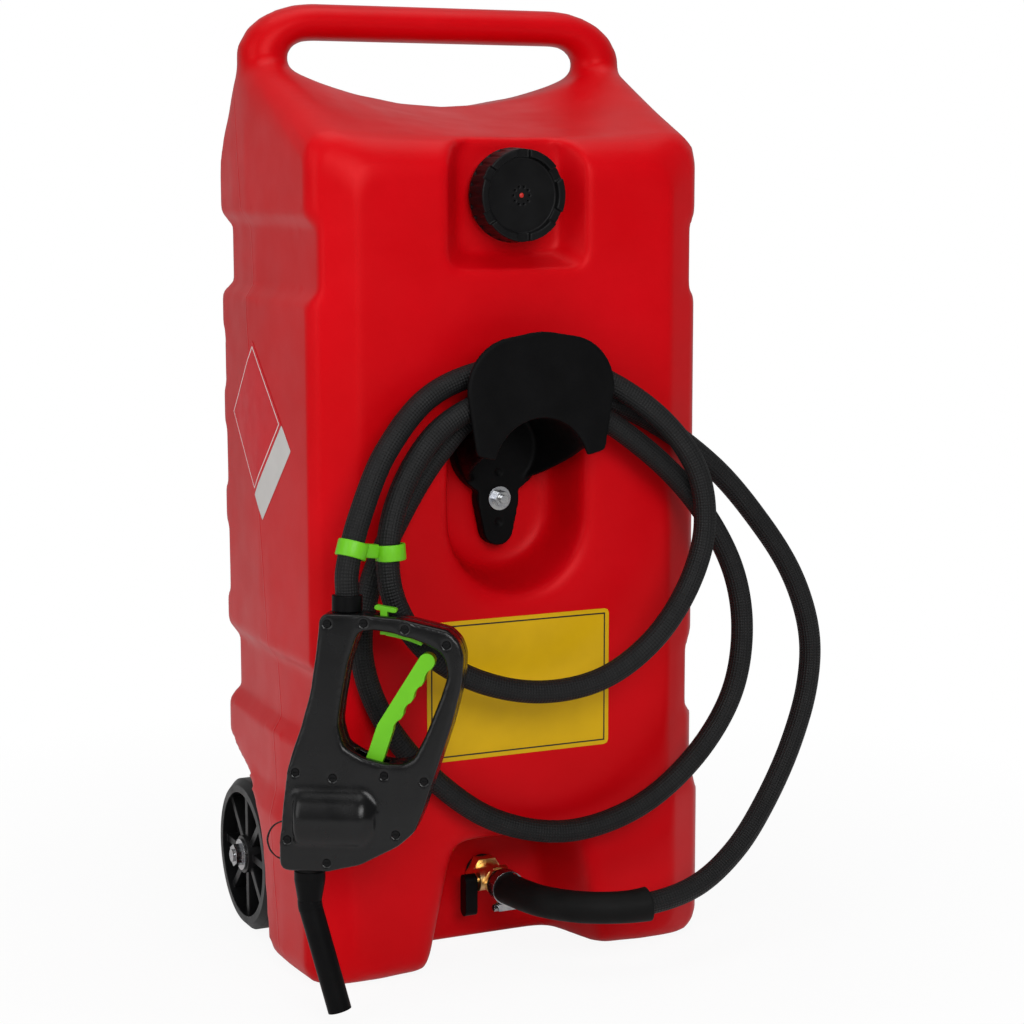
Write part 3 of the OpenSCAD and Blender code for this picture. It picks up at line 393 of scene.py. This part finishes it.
spans = range(len(route) - 1)
fine_route = [route_point(span, k / span_steps) for span in spans for k in range(span_steps)] + [route[-1]]
hose_line = even_line(fine_route, line_step)
hose_length = sum((b - a).length for a, b in zip(hose_line, hose_line[1:]))
print("hose length", round(hose_length, 3), "m in", len(hose_line), "points")


# %% Hose and guard sleeve
sleeve_diameter = 0.029
sleeve_wall = 0.0022
sleeve_spans = 4
flare_share = 0.09


def swept_tube(name, line, radius, sides, flare_points=0):
    bpy.ops.object.select_all(action="DESELECT")
    bpy.ops.curve.primitive_nurbs_path_add()
    tube = bpy.context.object
    tube.name = name
    tube.data.splines.clear()
    spline = tube.data.splines.new("POLY")
    spline.points.add(len(line) - 1)
    for target, source in zip(spline.points, line):
        target.co = (*source, 1.0)
    for step in range(flare_points):
        spline.points[-1 - step].radius = 1.0 + flare_share * (1 - step / flare_points) ** 2
    tube.data.dimensions = "3D"
    tube.data.twist_mode = "MINIMUM"
    tube.data.bevel_depth = radius
    tube.data.bevel_resolution = (sides - 4) // 2
    only(tube)
    bpy.ops.object.convert(target="MESH")
    tube = bpy.context.object
    bpy.ops.object.shade_smooth()
    face_outwards(tube)
    return tube


hose = swept_tube("delivery_hose", hose_line, hose_diameter / 2, sides=24)
sleeve_line = even_line(fine_route[: span_steps * sleeve_spans + 1], line_step)[1:]
sleeve = swept_tube("guard_sleeve", sleeve_line, sleeve_diameter / 2, sides=28, flare_points=14)
apply_modifier(sleeve, "SOLIDIFY", thickness=sleeve_wall, offset=-1.0, use_rim=True)
round_edges(sleeve, 0.0007, segments=2, degrees=50)
smooth_look(sleeve, 50)
print("hose", triangles(hose), "triangles, sleeve", triangles(sleeve))


# %% [markdown]
# ## Woven rubber
# The hose's cover keeps the print of the cloth it was cured in, as small slanted diamonds. Two crossing
# waves on the tube's own map make that print, so it turns with every bend.

# %% Woven hose finish
weave_pitch = 0.0054
weave_rows = 12


def woven_rubber(name, along, around, depth, dark, light):
    finish, tree, shader, place = new_finish(name)
    shader.inputs["Specular IOR Level"].default_value = 0.22
    tube_map = axes_of(tree, place.outputs["UV"])
    run = calc(tree, "MULTIPLY", tube_map["X"], along * math.tau)
    turn = calc(tree, "MULTIPLY", tube_map["Y"], around * math.tau)
    left = calc(tree, "SINE", calc(tree, "ADD", run, turn))
    right = calc(tree, "SINE", calc(tree, "SUBTRACT", run, turn))
    weave = calc(tree, "MULTIPLY", left, right)
    tint = spread(tree, weave, 0.0, 1.0, -0.8, 0.8)
    tree.links.new(blend_colours(tree, tint, dark, light), shader.inputs["Base Color"])
    tree.links.new(spread(tree, noise(tree, place, 60.0, 4.0), 0.5, 0.66), shader.inputs["Roughness"])
    fine = bump(tree, noise(tree, place, 1400.0, 2.0), 0.00005)
    tree.links.new(bump(tree, weave, depth, fine), shader.inputs["Normal"])
    return finish


hose_rubber = woven_rubber(
    "hose_rubber", along=hose_length / weave_pitch, around=weave_rows, depth=0.00032,
    dark=(0.0025, 0.0025, 0.0027), light=(0.008, 0.008, 0.0084),
)
coat(hose, hose_rubber)
coat(sleeve, sleeve_rubber)
print("hose maps:", [layer.name for layer in hose.data.uv_layers])


# %% [markdown]
# ## The hose clip
# A green clip holds two runs of the hose side by side. It is two collars with a web between them. Each
# collar starts as a ring, is given a wall by Solidify and softened by Bevel. The web is a little longer
# than the gap between the collars, so that its ends are set into both. A collar's spot is a span of the
# route and the share of that span.

# %% Hose clip
collar_slack = 0.0003
collar_wall = 0.0028
collar_length = 0.014
web_inset = 0.0255
web_least = 0.004
web_depth = 0.006
web_height = 0.012


def collar(name, centre, along):
    bpy.ops.object.select_all(action="DESELECT")
    bpy.ops.mesh.primitive_cylinder_add(
        vertices=40, radius=hose_diameter / 2 + collar_slack, depth=collar_length, end_fill_type="NOTHING"
    )
    ring = bpy.context.object
    ring.name = name
    ring.matrix_world = Matrix.Translation(centre) @ along.to_track_quat("Z", "Y").to_matrix().to_4x4()
    settle(ring)
    apply_modifier(ring, "SOLIDIFY", thickness=collar_wall, offset=1.0, use_rim=True)
    round_edges(ring, 0.0009, segments=3, degrees=40)
    return ring


collar_spots = (("hose_clip_skin", 36, 0.27), ("clip_second", 51, 0.65))
collars, centres = [], []
for name, span, share in collar_spots:
    centres.append(route[span].lerp(route[span + 1], share))
    collars.append(collar(name, centres[-1], (route[span + 1] - route[span]).normalized()))
across = centres[1] - centres[0]
bpy.ops.object.select_all(action="DESELECT")
bpy.ops.mesh.primitive_cube_add(size=1.0)
web = bpy.context.object
web.name = "clip_web"
web.matrix_world = (
    Matrix.Translation((centres[0] + centres[1]) / 2)
    @ across.to_track_quat("X", "Z").to_matrix().to_4x4()
    @ Matrix.Diagonal((max(across.length - web_inset, web_least), web_depth, web_height, 1.0))
)
settle(web)
apply_modifier(web, "BEVEL", width=0.001, segments=3)
only(collars[0])
collars[1].select_set(True)
web.select_set(True)
bpy.ops.object.join()
hose_clip = bpy.context.object
smooth_look(hose_clip)
coat(hose_clip, green_plastic)
print("clip spans", round(across.length * 1000, 1), "mm between the two runs")


# %% [markdown]
# ## Handing over the hose
# Each new piece is hung on the caddy's body, and the CAD node that it stands for is hidden.

# %% Hose pieces attached
hose_pieces = (
    (hose, "hose", "hose_rubber"),
    (sleeve, "hose_sleeve", "sleeve_rubber"),
    (hose_clip, "hose_clip", "green_plastic"),
)
for piece, node, slot in hose_pieces:
    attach(piece, "caddy")
    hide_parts(node)
print("hose declared with", len(hose_pieces), "new pieces")


# %% [markdown]
# ## The tank's skin
# A blow-moulded tank has no sharp edges: the hot plastic stretches over every corner of the mould. The
# CAD tank has the form, but in flat facets and with an inside. Bevelling each edge would miss the
# places where many of them meet. So the bores are closed, the inside is deleted, and a voxel remesh of
# what is left gives one even skin, with edges rounded by a smoothing pass. A second pass softens only
# the hook's recess, the outlet's recess and the roots of the handle, where the photograph shows the
# widest fillets.

# %% Copies of CAD nodes
merge_distance = 0.00002


def merged_copy(node, name):
    piece = bpy.data.objects.new(name, nodes[node].data.copy())
    bpy.context.scene.collection.objects.link(piece)
    only(piece)
    bpy.ops.object.mode_set(mode="EDIT")
    bpy.ops.mesh.select_all(action="SELECT")
    bpy.ops.mesh.remove_doubles(threshold=merge_distance)
    bpy.ops.object.mode_set(mode="OBJECT")
    return piece


def pick_faces(piece, test):
    only(piece)
    bpy.ops.object.mode_set(mode="EDIT")
    bpy.ops.mesh.select_mode(type="FACE")
    bpy.ops.mesh.select_all(action="DESELECT")
    bpy.ops.object.mode_set(mode="OBJECT")
    count = 0
    for face in piece.data.polygons:
        face.select = test(face)
        count += face.select
    bpy.ops.object.mode_set(mode="EDIT")
    return count


# %% Outside of the tank
cap_height, neck_bore, pocket_floor = 0.705, 0.026, -0.110
outlet_height, outlet_bore, bay_back = 0.066, 0.0107, -0.048
bore_slack = 0.0002
bore_reach = 0.012


def inside_bore(middle, height, radius, back):
    from_axis = math.hypot(middle.x, middle.z - height)
    return from_axis < radius + bore_slack and middle.y < back + bore_reach


def in_bore(face):
    in_neck = inside_bore(face.center, cap_height, neck_bore, pocket_floor)
    return in_neck or inside_bore(face.center, outlet_height, outlet_bore, bay_back)


tank_skin = merged_copy("tank", "tank_skin")
bore_faces = pick_faces(tank_skin, in_bore)
bpy.ops.mesh.delete(type="FACE")
bpy.ops.object.mode_set(mode="OBJECT")
lowest = min(tank_skin.data.polygons, key=lambda face: face.center.z).index
pick_faces(tank_skin, lambda face: face.index == lowest)
bpy.ops.mesh.select_linked()
bpy.ops.mesh.select_all(action="INVERT")
bpy.ops.mesh.delete(type="FACE")
bpy.ops.mesh.select_all(action="SELECT")
bpy.ops.mesh.fill_holes(sides=0)
bpy.ops.object.mode_set(mode="OBJECT")
print("bore faces", bore_faces, "outside faces", len(tank_skin.data.polygons))


# %% Tank skin
tank_voxel = 0.004
roots_bottom, roots_top, roots_side = (0.755, 0.785), (0.815, 0.835), (0.07, 0.11)
dish_height, dish_straight = 0.443, 0.03
dish_rim, dish_back = (0.085, 0.105), (-0.06, -0.05)
bay_side, bay_top, bay_depth = (0.105, 0.135), (0.165, 0.19), (-0.045, -0.03)


def soft_places(spot):
    roots = ease(spot.z, *roots_bottom) * fade(spot.z, *roots_top) * ease(abs(spot.x), *roots_side)
    from_middle = math.hypot(spot.x, max(abs(spot.z - dish_height) - dish_straight, 0.0))
    dish = fade(from_middle, *dish_rim) * fade(spot.y, *dish_back)
    bay = fade(abs(spot.x), *bay_side) * fade(spot.z, *bay_top) * fade(spot.y, *bay_depth)
    return max(roots, dish, bay)


apply_modifier(tank_skin, "REMESH", mode="VOXEL", voxel_size=tank_voxel, use_smooth_shade=True)
apply_modifier(tank_skin, "SMOOTH", factor=0.5, iterations=3)
soften(tank_skin, soft_places)
only(tank_skin)
bpy.ops.object.shade_smooth()
print("tank skin", triangles(tank_skin), "triangles")


# %% [markdown]
# ## Red polyethylene
# The tank is dyed through, so its red is even, with a soft wide sheen. A fine grain comes from the
# mould, slow waves come from the blown wall, and a thin raised line runs round the sides where the two
# halves of the mould met. The line leans back a little, so it is worked out from the height.

# %% Red polyethylene
seam_lean, seam_foot = 0.151, -0.052
seam_height = 0.0003
wave_height = 0.0012


def red_polyethylene_finish(dark, light):
    finish, tree, shader, place = new_finish("red_polyethylene")
    tint = spread(tree, noise(tree, place, 9.0), 0.0, 1.0)
    tree.links.new(blend_colours(tree, tint, dark, light), shader.inputs["Base Color"])
    tree.links.new(spread(tree, noise(tree, place, 26.0, 4.0), 0.34, 0.42), shader.inputs["Roughness"])
    shader.inputs["Specular IOR Level"].default_value = 0.4
    shader.inputs["Specular Tint"].default_value = (1.0, 0.16, 0.16, 1.0)
    spot = axes_of(tree, place.outputs["Object"])
    seam_y = calc(tree, "ADD", calc(tree, "MULTIPLY", spot["Z"], seam_lean), seam_foot)
    away = calc(tree, "ABSOLUTE", calc(tree, "SUBTRACT", spot["Y"], seam_y))
    seam = spread(tree, away, 1.0, 0.0, 0.0003, 0.0016)
    waves = bump(tree, noise(tree, place, 12.0, 1.0), wave_height)
    ridge = bump(tree, seam, seam_height, waves)
    tree.links.new(bump(tree, noise(tree, place, 700.0, 2.0), 0.00005, ridge), shader.inputs["Normal"])
    return finish


coat(tank_skin, red_polyethylene_finish(dark=(0.50, 0.0006, 0.0030), light=(0.565, 0.0012, 0.0052)))
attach(tank_skin, "caddy")
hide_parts("tank")
print("tank skin coated")


# %% [markdown]
# ## Blank labels
# A real caddy carries film on the front and on its side. Here it is blank, with a plain line inside the
# edge. Each label is a flat grid scaled to size, with rounded corners, laid on the skin with Shrinkwrap
# so that it follows the wall, and then thickened. Colour on the skin itself would have no edge to catch
# the light.

# %% Label film
film_lift = 0.0003
film_thickness = 0.00025


def film_finish(name, colour, line_colour, half_width, half_height, inset, line):
    finish, tree, shader, place = new_finish(name)
    shader.inputs["Specular IOR Level"].default_value = 0.15
    film_map = axes_of(tree, place.outputs["UV"])

    def beyond(axis, half):
        centred = calc(tree, "ABSOLUTE", calc(tree, "SUBTRACT", film_map[axis], 0.5))
        return calc(tree, "SUBTRACT", calc(tree, "MULTIPLY", centred, 2 * half), half - inset)

    edge = calc(tree, "ABSOLUTE", calc(tree, "MAXIMUM", beyond("X", half_width), beyond("Y", half_height)))
    drawn = spread(tree, edge, 1.0, 0.0, line * 0.4, line * 0.6)
    aged = spread(tree, noise(tree, place, 40.0, 4.0), 0.0, 1.0)
    base = blend_colours(tree, aged, colour, tuple(0.93 * part for part in colour))
    tree.links.new(blend_colours(tree, drawn, base, line_colour), shader.inputs["Base Color"])
    tree.links.new(spread(tree, noise(tree, place, 55.0, 3.0), 0.32, 0.44), shader.inputs["Roughness"])
    tree.links.new(bump(tree, noise(tree, place, 90.0, 2.0), 0.0001), shader.inputs["Normal"])
    return finish


def round_corners(film, half_width, half_height, corner):
    for point in film.data.vertices:
        over_x = abs(point.co.x) - (half_width - corner)
        over_y = abs(point.co.y) - (half_height - corner)
        reach = math.hypot(over_x, over_y)
        if over_x > 0 and over_y > 0 and reach > corner:
            point.co.x = math.copysign(half_width - corner + over_x * corner / reach, point.co.x)
            point.co.y = math.copysign(half_height - corner + over_y * corner / reach, point.co.y)


def label(name, half_width, half_height, corner, placing, finish):
    bpy.ops.object.select_all(action="DESELECT")
    bpy.ops.mesh.primitive_grid_add(x_subdivisions=40, y_subdivisions=30, size=2.0)
    film = bpy.context.object
    film.name = name
    film.scale = (half_width, half_height, 1.0)
    settle(film)
    round_corners(film, half_width, half_height, corner)
    film.matrix_world = placing
    settle(film)
    apply_modifier(
        film, "SHRINKWRAP", target=tank_skin, wrap_method="NEAREST_SURFACEPOINT",
        wrap_mode="ABOVE_SURFACE", offset=film_lift,
    )
    apply_modifier(film, "SOLIDIFY", thickness=film_thickness, offset=0.0)
    coat(film, finish)
    smooth_look(film)
    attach(film, "caddy")


# %% Labels
quarter_turn = math.radians(90)
front_half_width, front_half_height = 0.091, 0.064
front_middle = (0.0, -0.136, 0.264)
side_half, strip_half = 0.050, 0.015
side_middle = (-0.200, 0.022, 0.502)
strip_drop = 0.0655
pale = (0.62, 0.60, 0.58)

yellow_film = film_finish(
    "yellow_film", colour=(0.64, 0.38, 0.004), line_colour=(0.02, 0.018, 0.015),
    half_width=front_half_width, half_height=front_half_height, inset=0.0045, line=0.0014,
)
front_place = Matrix.Translation(front_middle) @ Matrix.Rotation(quarter_turn, 4, "X")
label("front_label", front_half_width, front_half_height, 0.004, front_place, yellow_film)

red_film = film_finish(
    "red_film", colour=(0.60, 0.012, 0.02), line_colour=(0.75, 0.70, 0.68),
    half_width=side_half, half_height=side_half, inset=0.004, line=0.0012,
)
pale_film = film_finish(
    "pale_film", colour=pale, line_colour=pale,
    half_width=side_half, half_height=strip_half, inset=0.003, line=0.0004,
)
to_side = Matrix.Rotation(-quarter_turn, 4, "Z") @ Matrix.Rotation(quarter_turn, 4, "X")
on_corner = Matrix.Rotation(quarter_turn / 2, 4, "Z")
side_place = Matrix.Translation(side_middle) @ to_side @ on_corner
strip_place = side_place @ Matrix.Translation((0.0, -strip_drop, 0.0))
label("side_label", side_half, side_half, 0.001, side_place, red_film)
label("side_strip", side_half, strip_half, 0.001, strip_place, pale_film)
print("labels laid on the skin")


# %% [markdown]
# ## Hook and pump skins
# The hook and the two pump shells are injection mouldings with rounded edges. The same remesh and
# smoothing, with smaller voxels, rounds them. The pump's edges are rounder, so its shells are softened
# once more, but not where they meet each other and not round their screws, so that the joint stays
# closed.

# %% Hook and pump skins
hook_voxel = 0.0015
pump_voxel = 0.0013
joint_margin = (0.001, 0.004)
screw_margin = (0.003, 0.007)


def rounded_skin(node, name, voxel, passes, finish):
    skin = merged_copy(node, name)
    apply_modifier(skin, "REMESH", mode="VOXEL", voxel_size=voxel, use_smooth_shade=True)
    apply_modifier(skin, "SMOOTH", factor=0.5, iterations=passes)
    only(skin)
    bpy.ops.object.shade_smooth()
    coat(skin, finish)
    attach(skin, "caddy")
    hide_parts(node)
    print(name, triangles(skin), "triangles")
    return skin


rounded_skin("hook", "hook_skin", hook_voxel, passes=5, finish=hook_plastic)
front_skin = rounded_skin("pump_front_shell", "pump_front_skin", pump_voxel, passes=3, finish=pump_plastic)
rear_skin = rounded_skin("pump_rear_shell", "pump_rear_skin", pump_voxel, passes=3, finish=pump_plastic)


# %% Rounder pump
def distance_to(node):
    mesh = nodes[node].data
    corners = [point.co for point in mesh.vertices]
    surface = BVHTree.FromPolygons(corners, [face.vertices for face in mesh.polygons])
    return lambda spot: surface.find_nearest(spot)[3]


from_screws = distance_to("pump_screws")


def clear_of(node):
    from_node = distance_to(node)
    return lambda spot: ease(from_node(spot), *joint_margin) * ease(from_screws(spot), *screw_margin)


soften(front_skin, clear_of("pump_rear_shell"))
soften(rear_skin, clear_of("pump_front_shell"))
print("pump shells softened away from their joint and screws")


# %% [markdown]
# ## The filler cap
# In the middle of the cap's face are a ring of ten vent holes and a small red button. The holes are cut
# with Boolean from a copy of the CAD cap, which is then remeshed and smoothed to round its edges. The
# button is a flattened ball set into the face.

# %% Vent holes
cap_face = -0.1385
cap_voxel = 0.0006
vent_count = 10
vent_ring = 0.0078
vent_radius = 0.001
vent_depth = 0.005

cap_skin = merged_copy("filler_cap", "cap_skin")
bpy.ops.object.select_all(action="DESELECT")
drills = []
for turn in range(vent_count):
    angle = math.tau * turn / vent_count
    spot = (vent_ring * math.cos(angle), cap_face, cap_height + vent_ring * math.sin(angle))
    bpy.ops.mesh.primitive_cylinder_add(
        vertices=16, radius=vent_radius, depth=vent_depth, location=spot, rotation=(quarter_turn, 0.0, 0.0)
    )
    drills.append(bpy.context.object)
for drill in drills:
    drill.select_set(True)
bpy.ops.object.join()
drill = bpy.context.object
apply_modifier(cap_skin, "BOOLEAN", operation="DIFFERENCE", solver="EXACT", object=drill)
bpy.data.objects.remove(drill)
apply_modifier(cap_skin, "REMESH", mode="VOXEL", voxel_size=cap_voxel, use_smooth_shade=True)
apply_modifier(cap_skin, "SMOOTH", factor=0.5, iterations=3)
coat(cap_skin, cap_plastic)
print("vent holes cut:", vent_count)


# %% Button
button_radius = 0.0022
button_flatness = 0.5

bpy.ops.object.select_all(action="DESELECT")
bpy.ops.mesh.primitive_uv_sphere_add(
    segments=24, ring_count=12, radius=button_radius, location=(0.0, cap_face, cap_height)
)
button = bpy.context.object
button.scale = (1.0, button_flatness, 1.0)
settle(button)
coat(button, red_button)
only(cap_skin)
button.select_set(True)
bpy.ops.object.join()
cap_skin = bpy.context.object
bpy.ops.object.shade_smooth()
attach(cap_skin, "filler_cap")
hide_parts("filler_cap")
print("cap skin", triangles(cap_skin), "triangles")


# %% [markdown]
# ## Finishes on the CAD nodes
# The turned and moulded small parts keep their CAD shape. Each gets the finish of its own material.

# %% CAD node finishes
finished_nodes = (
    (black_rubber, ("filler_liner", "outlet_gasket", "grip_tube", "piston_ring", "spout_seal")),
    (black_plastic, ("valve_lever", "wheel_spacers", "hose_ferrule", "pump_cylinder", "piston", "spout")),
    (wheel_plastic, ("wheel_left", "wheel_right")),
    (green_plastic, ("lever", "lock_latch")),
    (dark_screw, ("pump_screws",)),
    (brass, ("outlet_valve", "valve_plug", "hose_barb")),
    (zinc_steel, ("hook_stud", "hook_washer", "hook_nut", "hose_clamp")),
    (zinc_steel, ("axle", "wheel_washers", "axle_nuts")),
    (zinc_steel, ("inlet_valve", "delivery_valve", "lever_pin", "latch_pin")),
)
for finish, names in finished_nodes:
    for node in names:
        coat(nodes[node], finish)
print("finishes on", sum(len(names) for finish, names in finished_nodes), "CAD nodes")


# %% [markdown]
# ## The return spring
# The spring stands between the piston and the end of its cylinder, so it has to shorten when the piston
# comes. Here a copy of the CAD spring, with smooth shading and a zinc finish, takes its place at its full
# length. Shorter coils of the same wire would be truer, but the spring is out of sight.

# %% Return spring
spring = merged_copy("return_spring", "return_spring_skin")
smooth_look(spring, 60)
coat(spring, zinc_steel)
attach(spring, "caddy")
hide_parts("return_spring")
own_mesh(spring)


# %% [markdown]
# ## Floor, background and light
# The photograph has a white background. The floor is pale and is lifted to white for the camera. Close
# to the object it keeps part of its shadow, and further out it fades into the white surround. The light
# is a wide key from the left, a soft fill from behind the camera, a soft lamp above and a surround that
# is bright behind the object and dim in front of it.

# %% Floor
floor_size = 14.0
mirrored_share = 0.2
near_share = 0.92
shadow_end, white_start = 0.35, 0.95


def pale_floor_finish():
    finish, tree, shader, place = new_finish("pale_floor")
    shader.inputs["Base Color"].default_value = (0.86, 0.86, 0.86, 1.0)
    shader.inputs["Roughness"].default_value = 0.9
    shader.inputs["Specular IOR Level"].default_value = 0.1
    rays = tree.nodes.new("ShaderNodeLightPath").outputs
    glow = tree.nodes.new("ShaderNodeEmission")
    glow.inputs["Strength"].default_value = 1.0
    indirect = calc(tree, "MAXIMUM", rays["Is Glossy Ray"], rays["Is Transmission Ray"])
    seen = calc(tree, "MAXIMUM", rays["Is Camera Ray"], calc(tree, "MULTIPLY", indirect, mirrored_share))
    distance = tree.nodes.new("ShaderNodeVectorMath")
    distance.operation = "LENGTH"
    tree.links.new(place.outputs["Object"], distance.inputs[0])
    lifted = spread(tree, distance.outputs["Value"], near_share, 1.0, shadow_end, white_start)
    share = calc(tree, "MULTIPLY", seen, lifted)
    blend = tree.nodes.new("ShaderNodeMixShader")
    tree.links.new(share, blend.inputs["Fac"])
    tree.links.new(shader.outputs["BSDF"], blend.inputs[1])
    tree.links.new(glow.outputs["Emission"], blend.inputs[2])
    tree.links.new(blend.outputs["Shader"], tree.nodes["Material Output"].inputs["Surface"])
    return finish


bpy.ops.object.select_all(action="DESELECT")
bpy.ops.mesh.primitive_plane_add(size=floor_size)
floor = bpy.context.object
floor.name = "floor"
coat(floor, pale_floor_finish())
print("floor", [round(v, 1) for v in floor.dimensions])


# %% White surround
front_strength, back_strength = 0.14, 0.42
world = bpy.data.worlds.new("white_surround")
bpy.context.scene.world = world
world.use_nodes = True
tree = world.node_tree
rays = tree.nodes.new("ShaderNodeLightPath").outputs
seen = calc(tree, "MAXIMUM", rays["Is Camera Ray"], rays["Is Transmission Ray"])
surround = tree.nodes["Background"]
surround.inputs["Color"].default_value = (1.0, 1.0, 1.0, 1.0)
direction = axes_of(tree, tree.nodes.new("ShaderNodeTexCoord").outputs["Generated"])
around = spread(tree, direction["Y"], front_strength, back_strength, -0.5, 0.6)
tree.links.new(calc(tree, "MAXIMUM", around, seen), surround.inputs["Strength"])
print("surround made")


# %% Lamps
def lamp(name, place, target, size, power):
    light = bpy.data.lights.new(name, "AREA")
    light.shape = "RECTANGLE"
    light.size, light.size_y = size
    light.energy = power
    holder = bpy.data.objects.new(name, light)
    holder.location = place
    holder.rotation_euler = (Vector(target) - Vector(place)).to_track_quat("-Z", "Y").to_euler()
    bpy.context.scene.collection.objects.link(holder)


middle = (0.0, 0.0, 0.42)
lamp("key_left", (-2.4, -1.1, 1.4), middle, size=(1.4, 2.2), power=23.0)
lamp("front_fill", (-0.5, -3.0, 1.7), middle, size=(1.8, 1.4), power=57.0)
lamp("top_soft", (0.0, -0.3, 2.6), middle, size=(1.8, 1.8), power=20.0)
print("lamps placed")
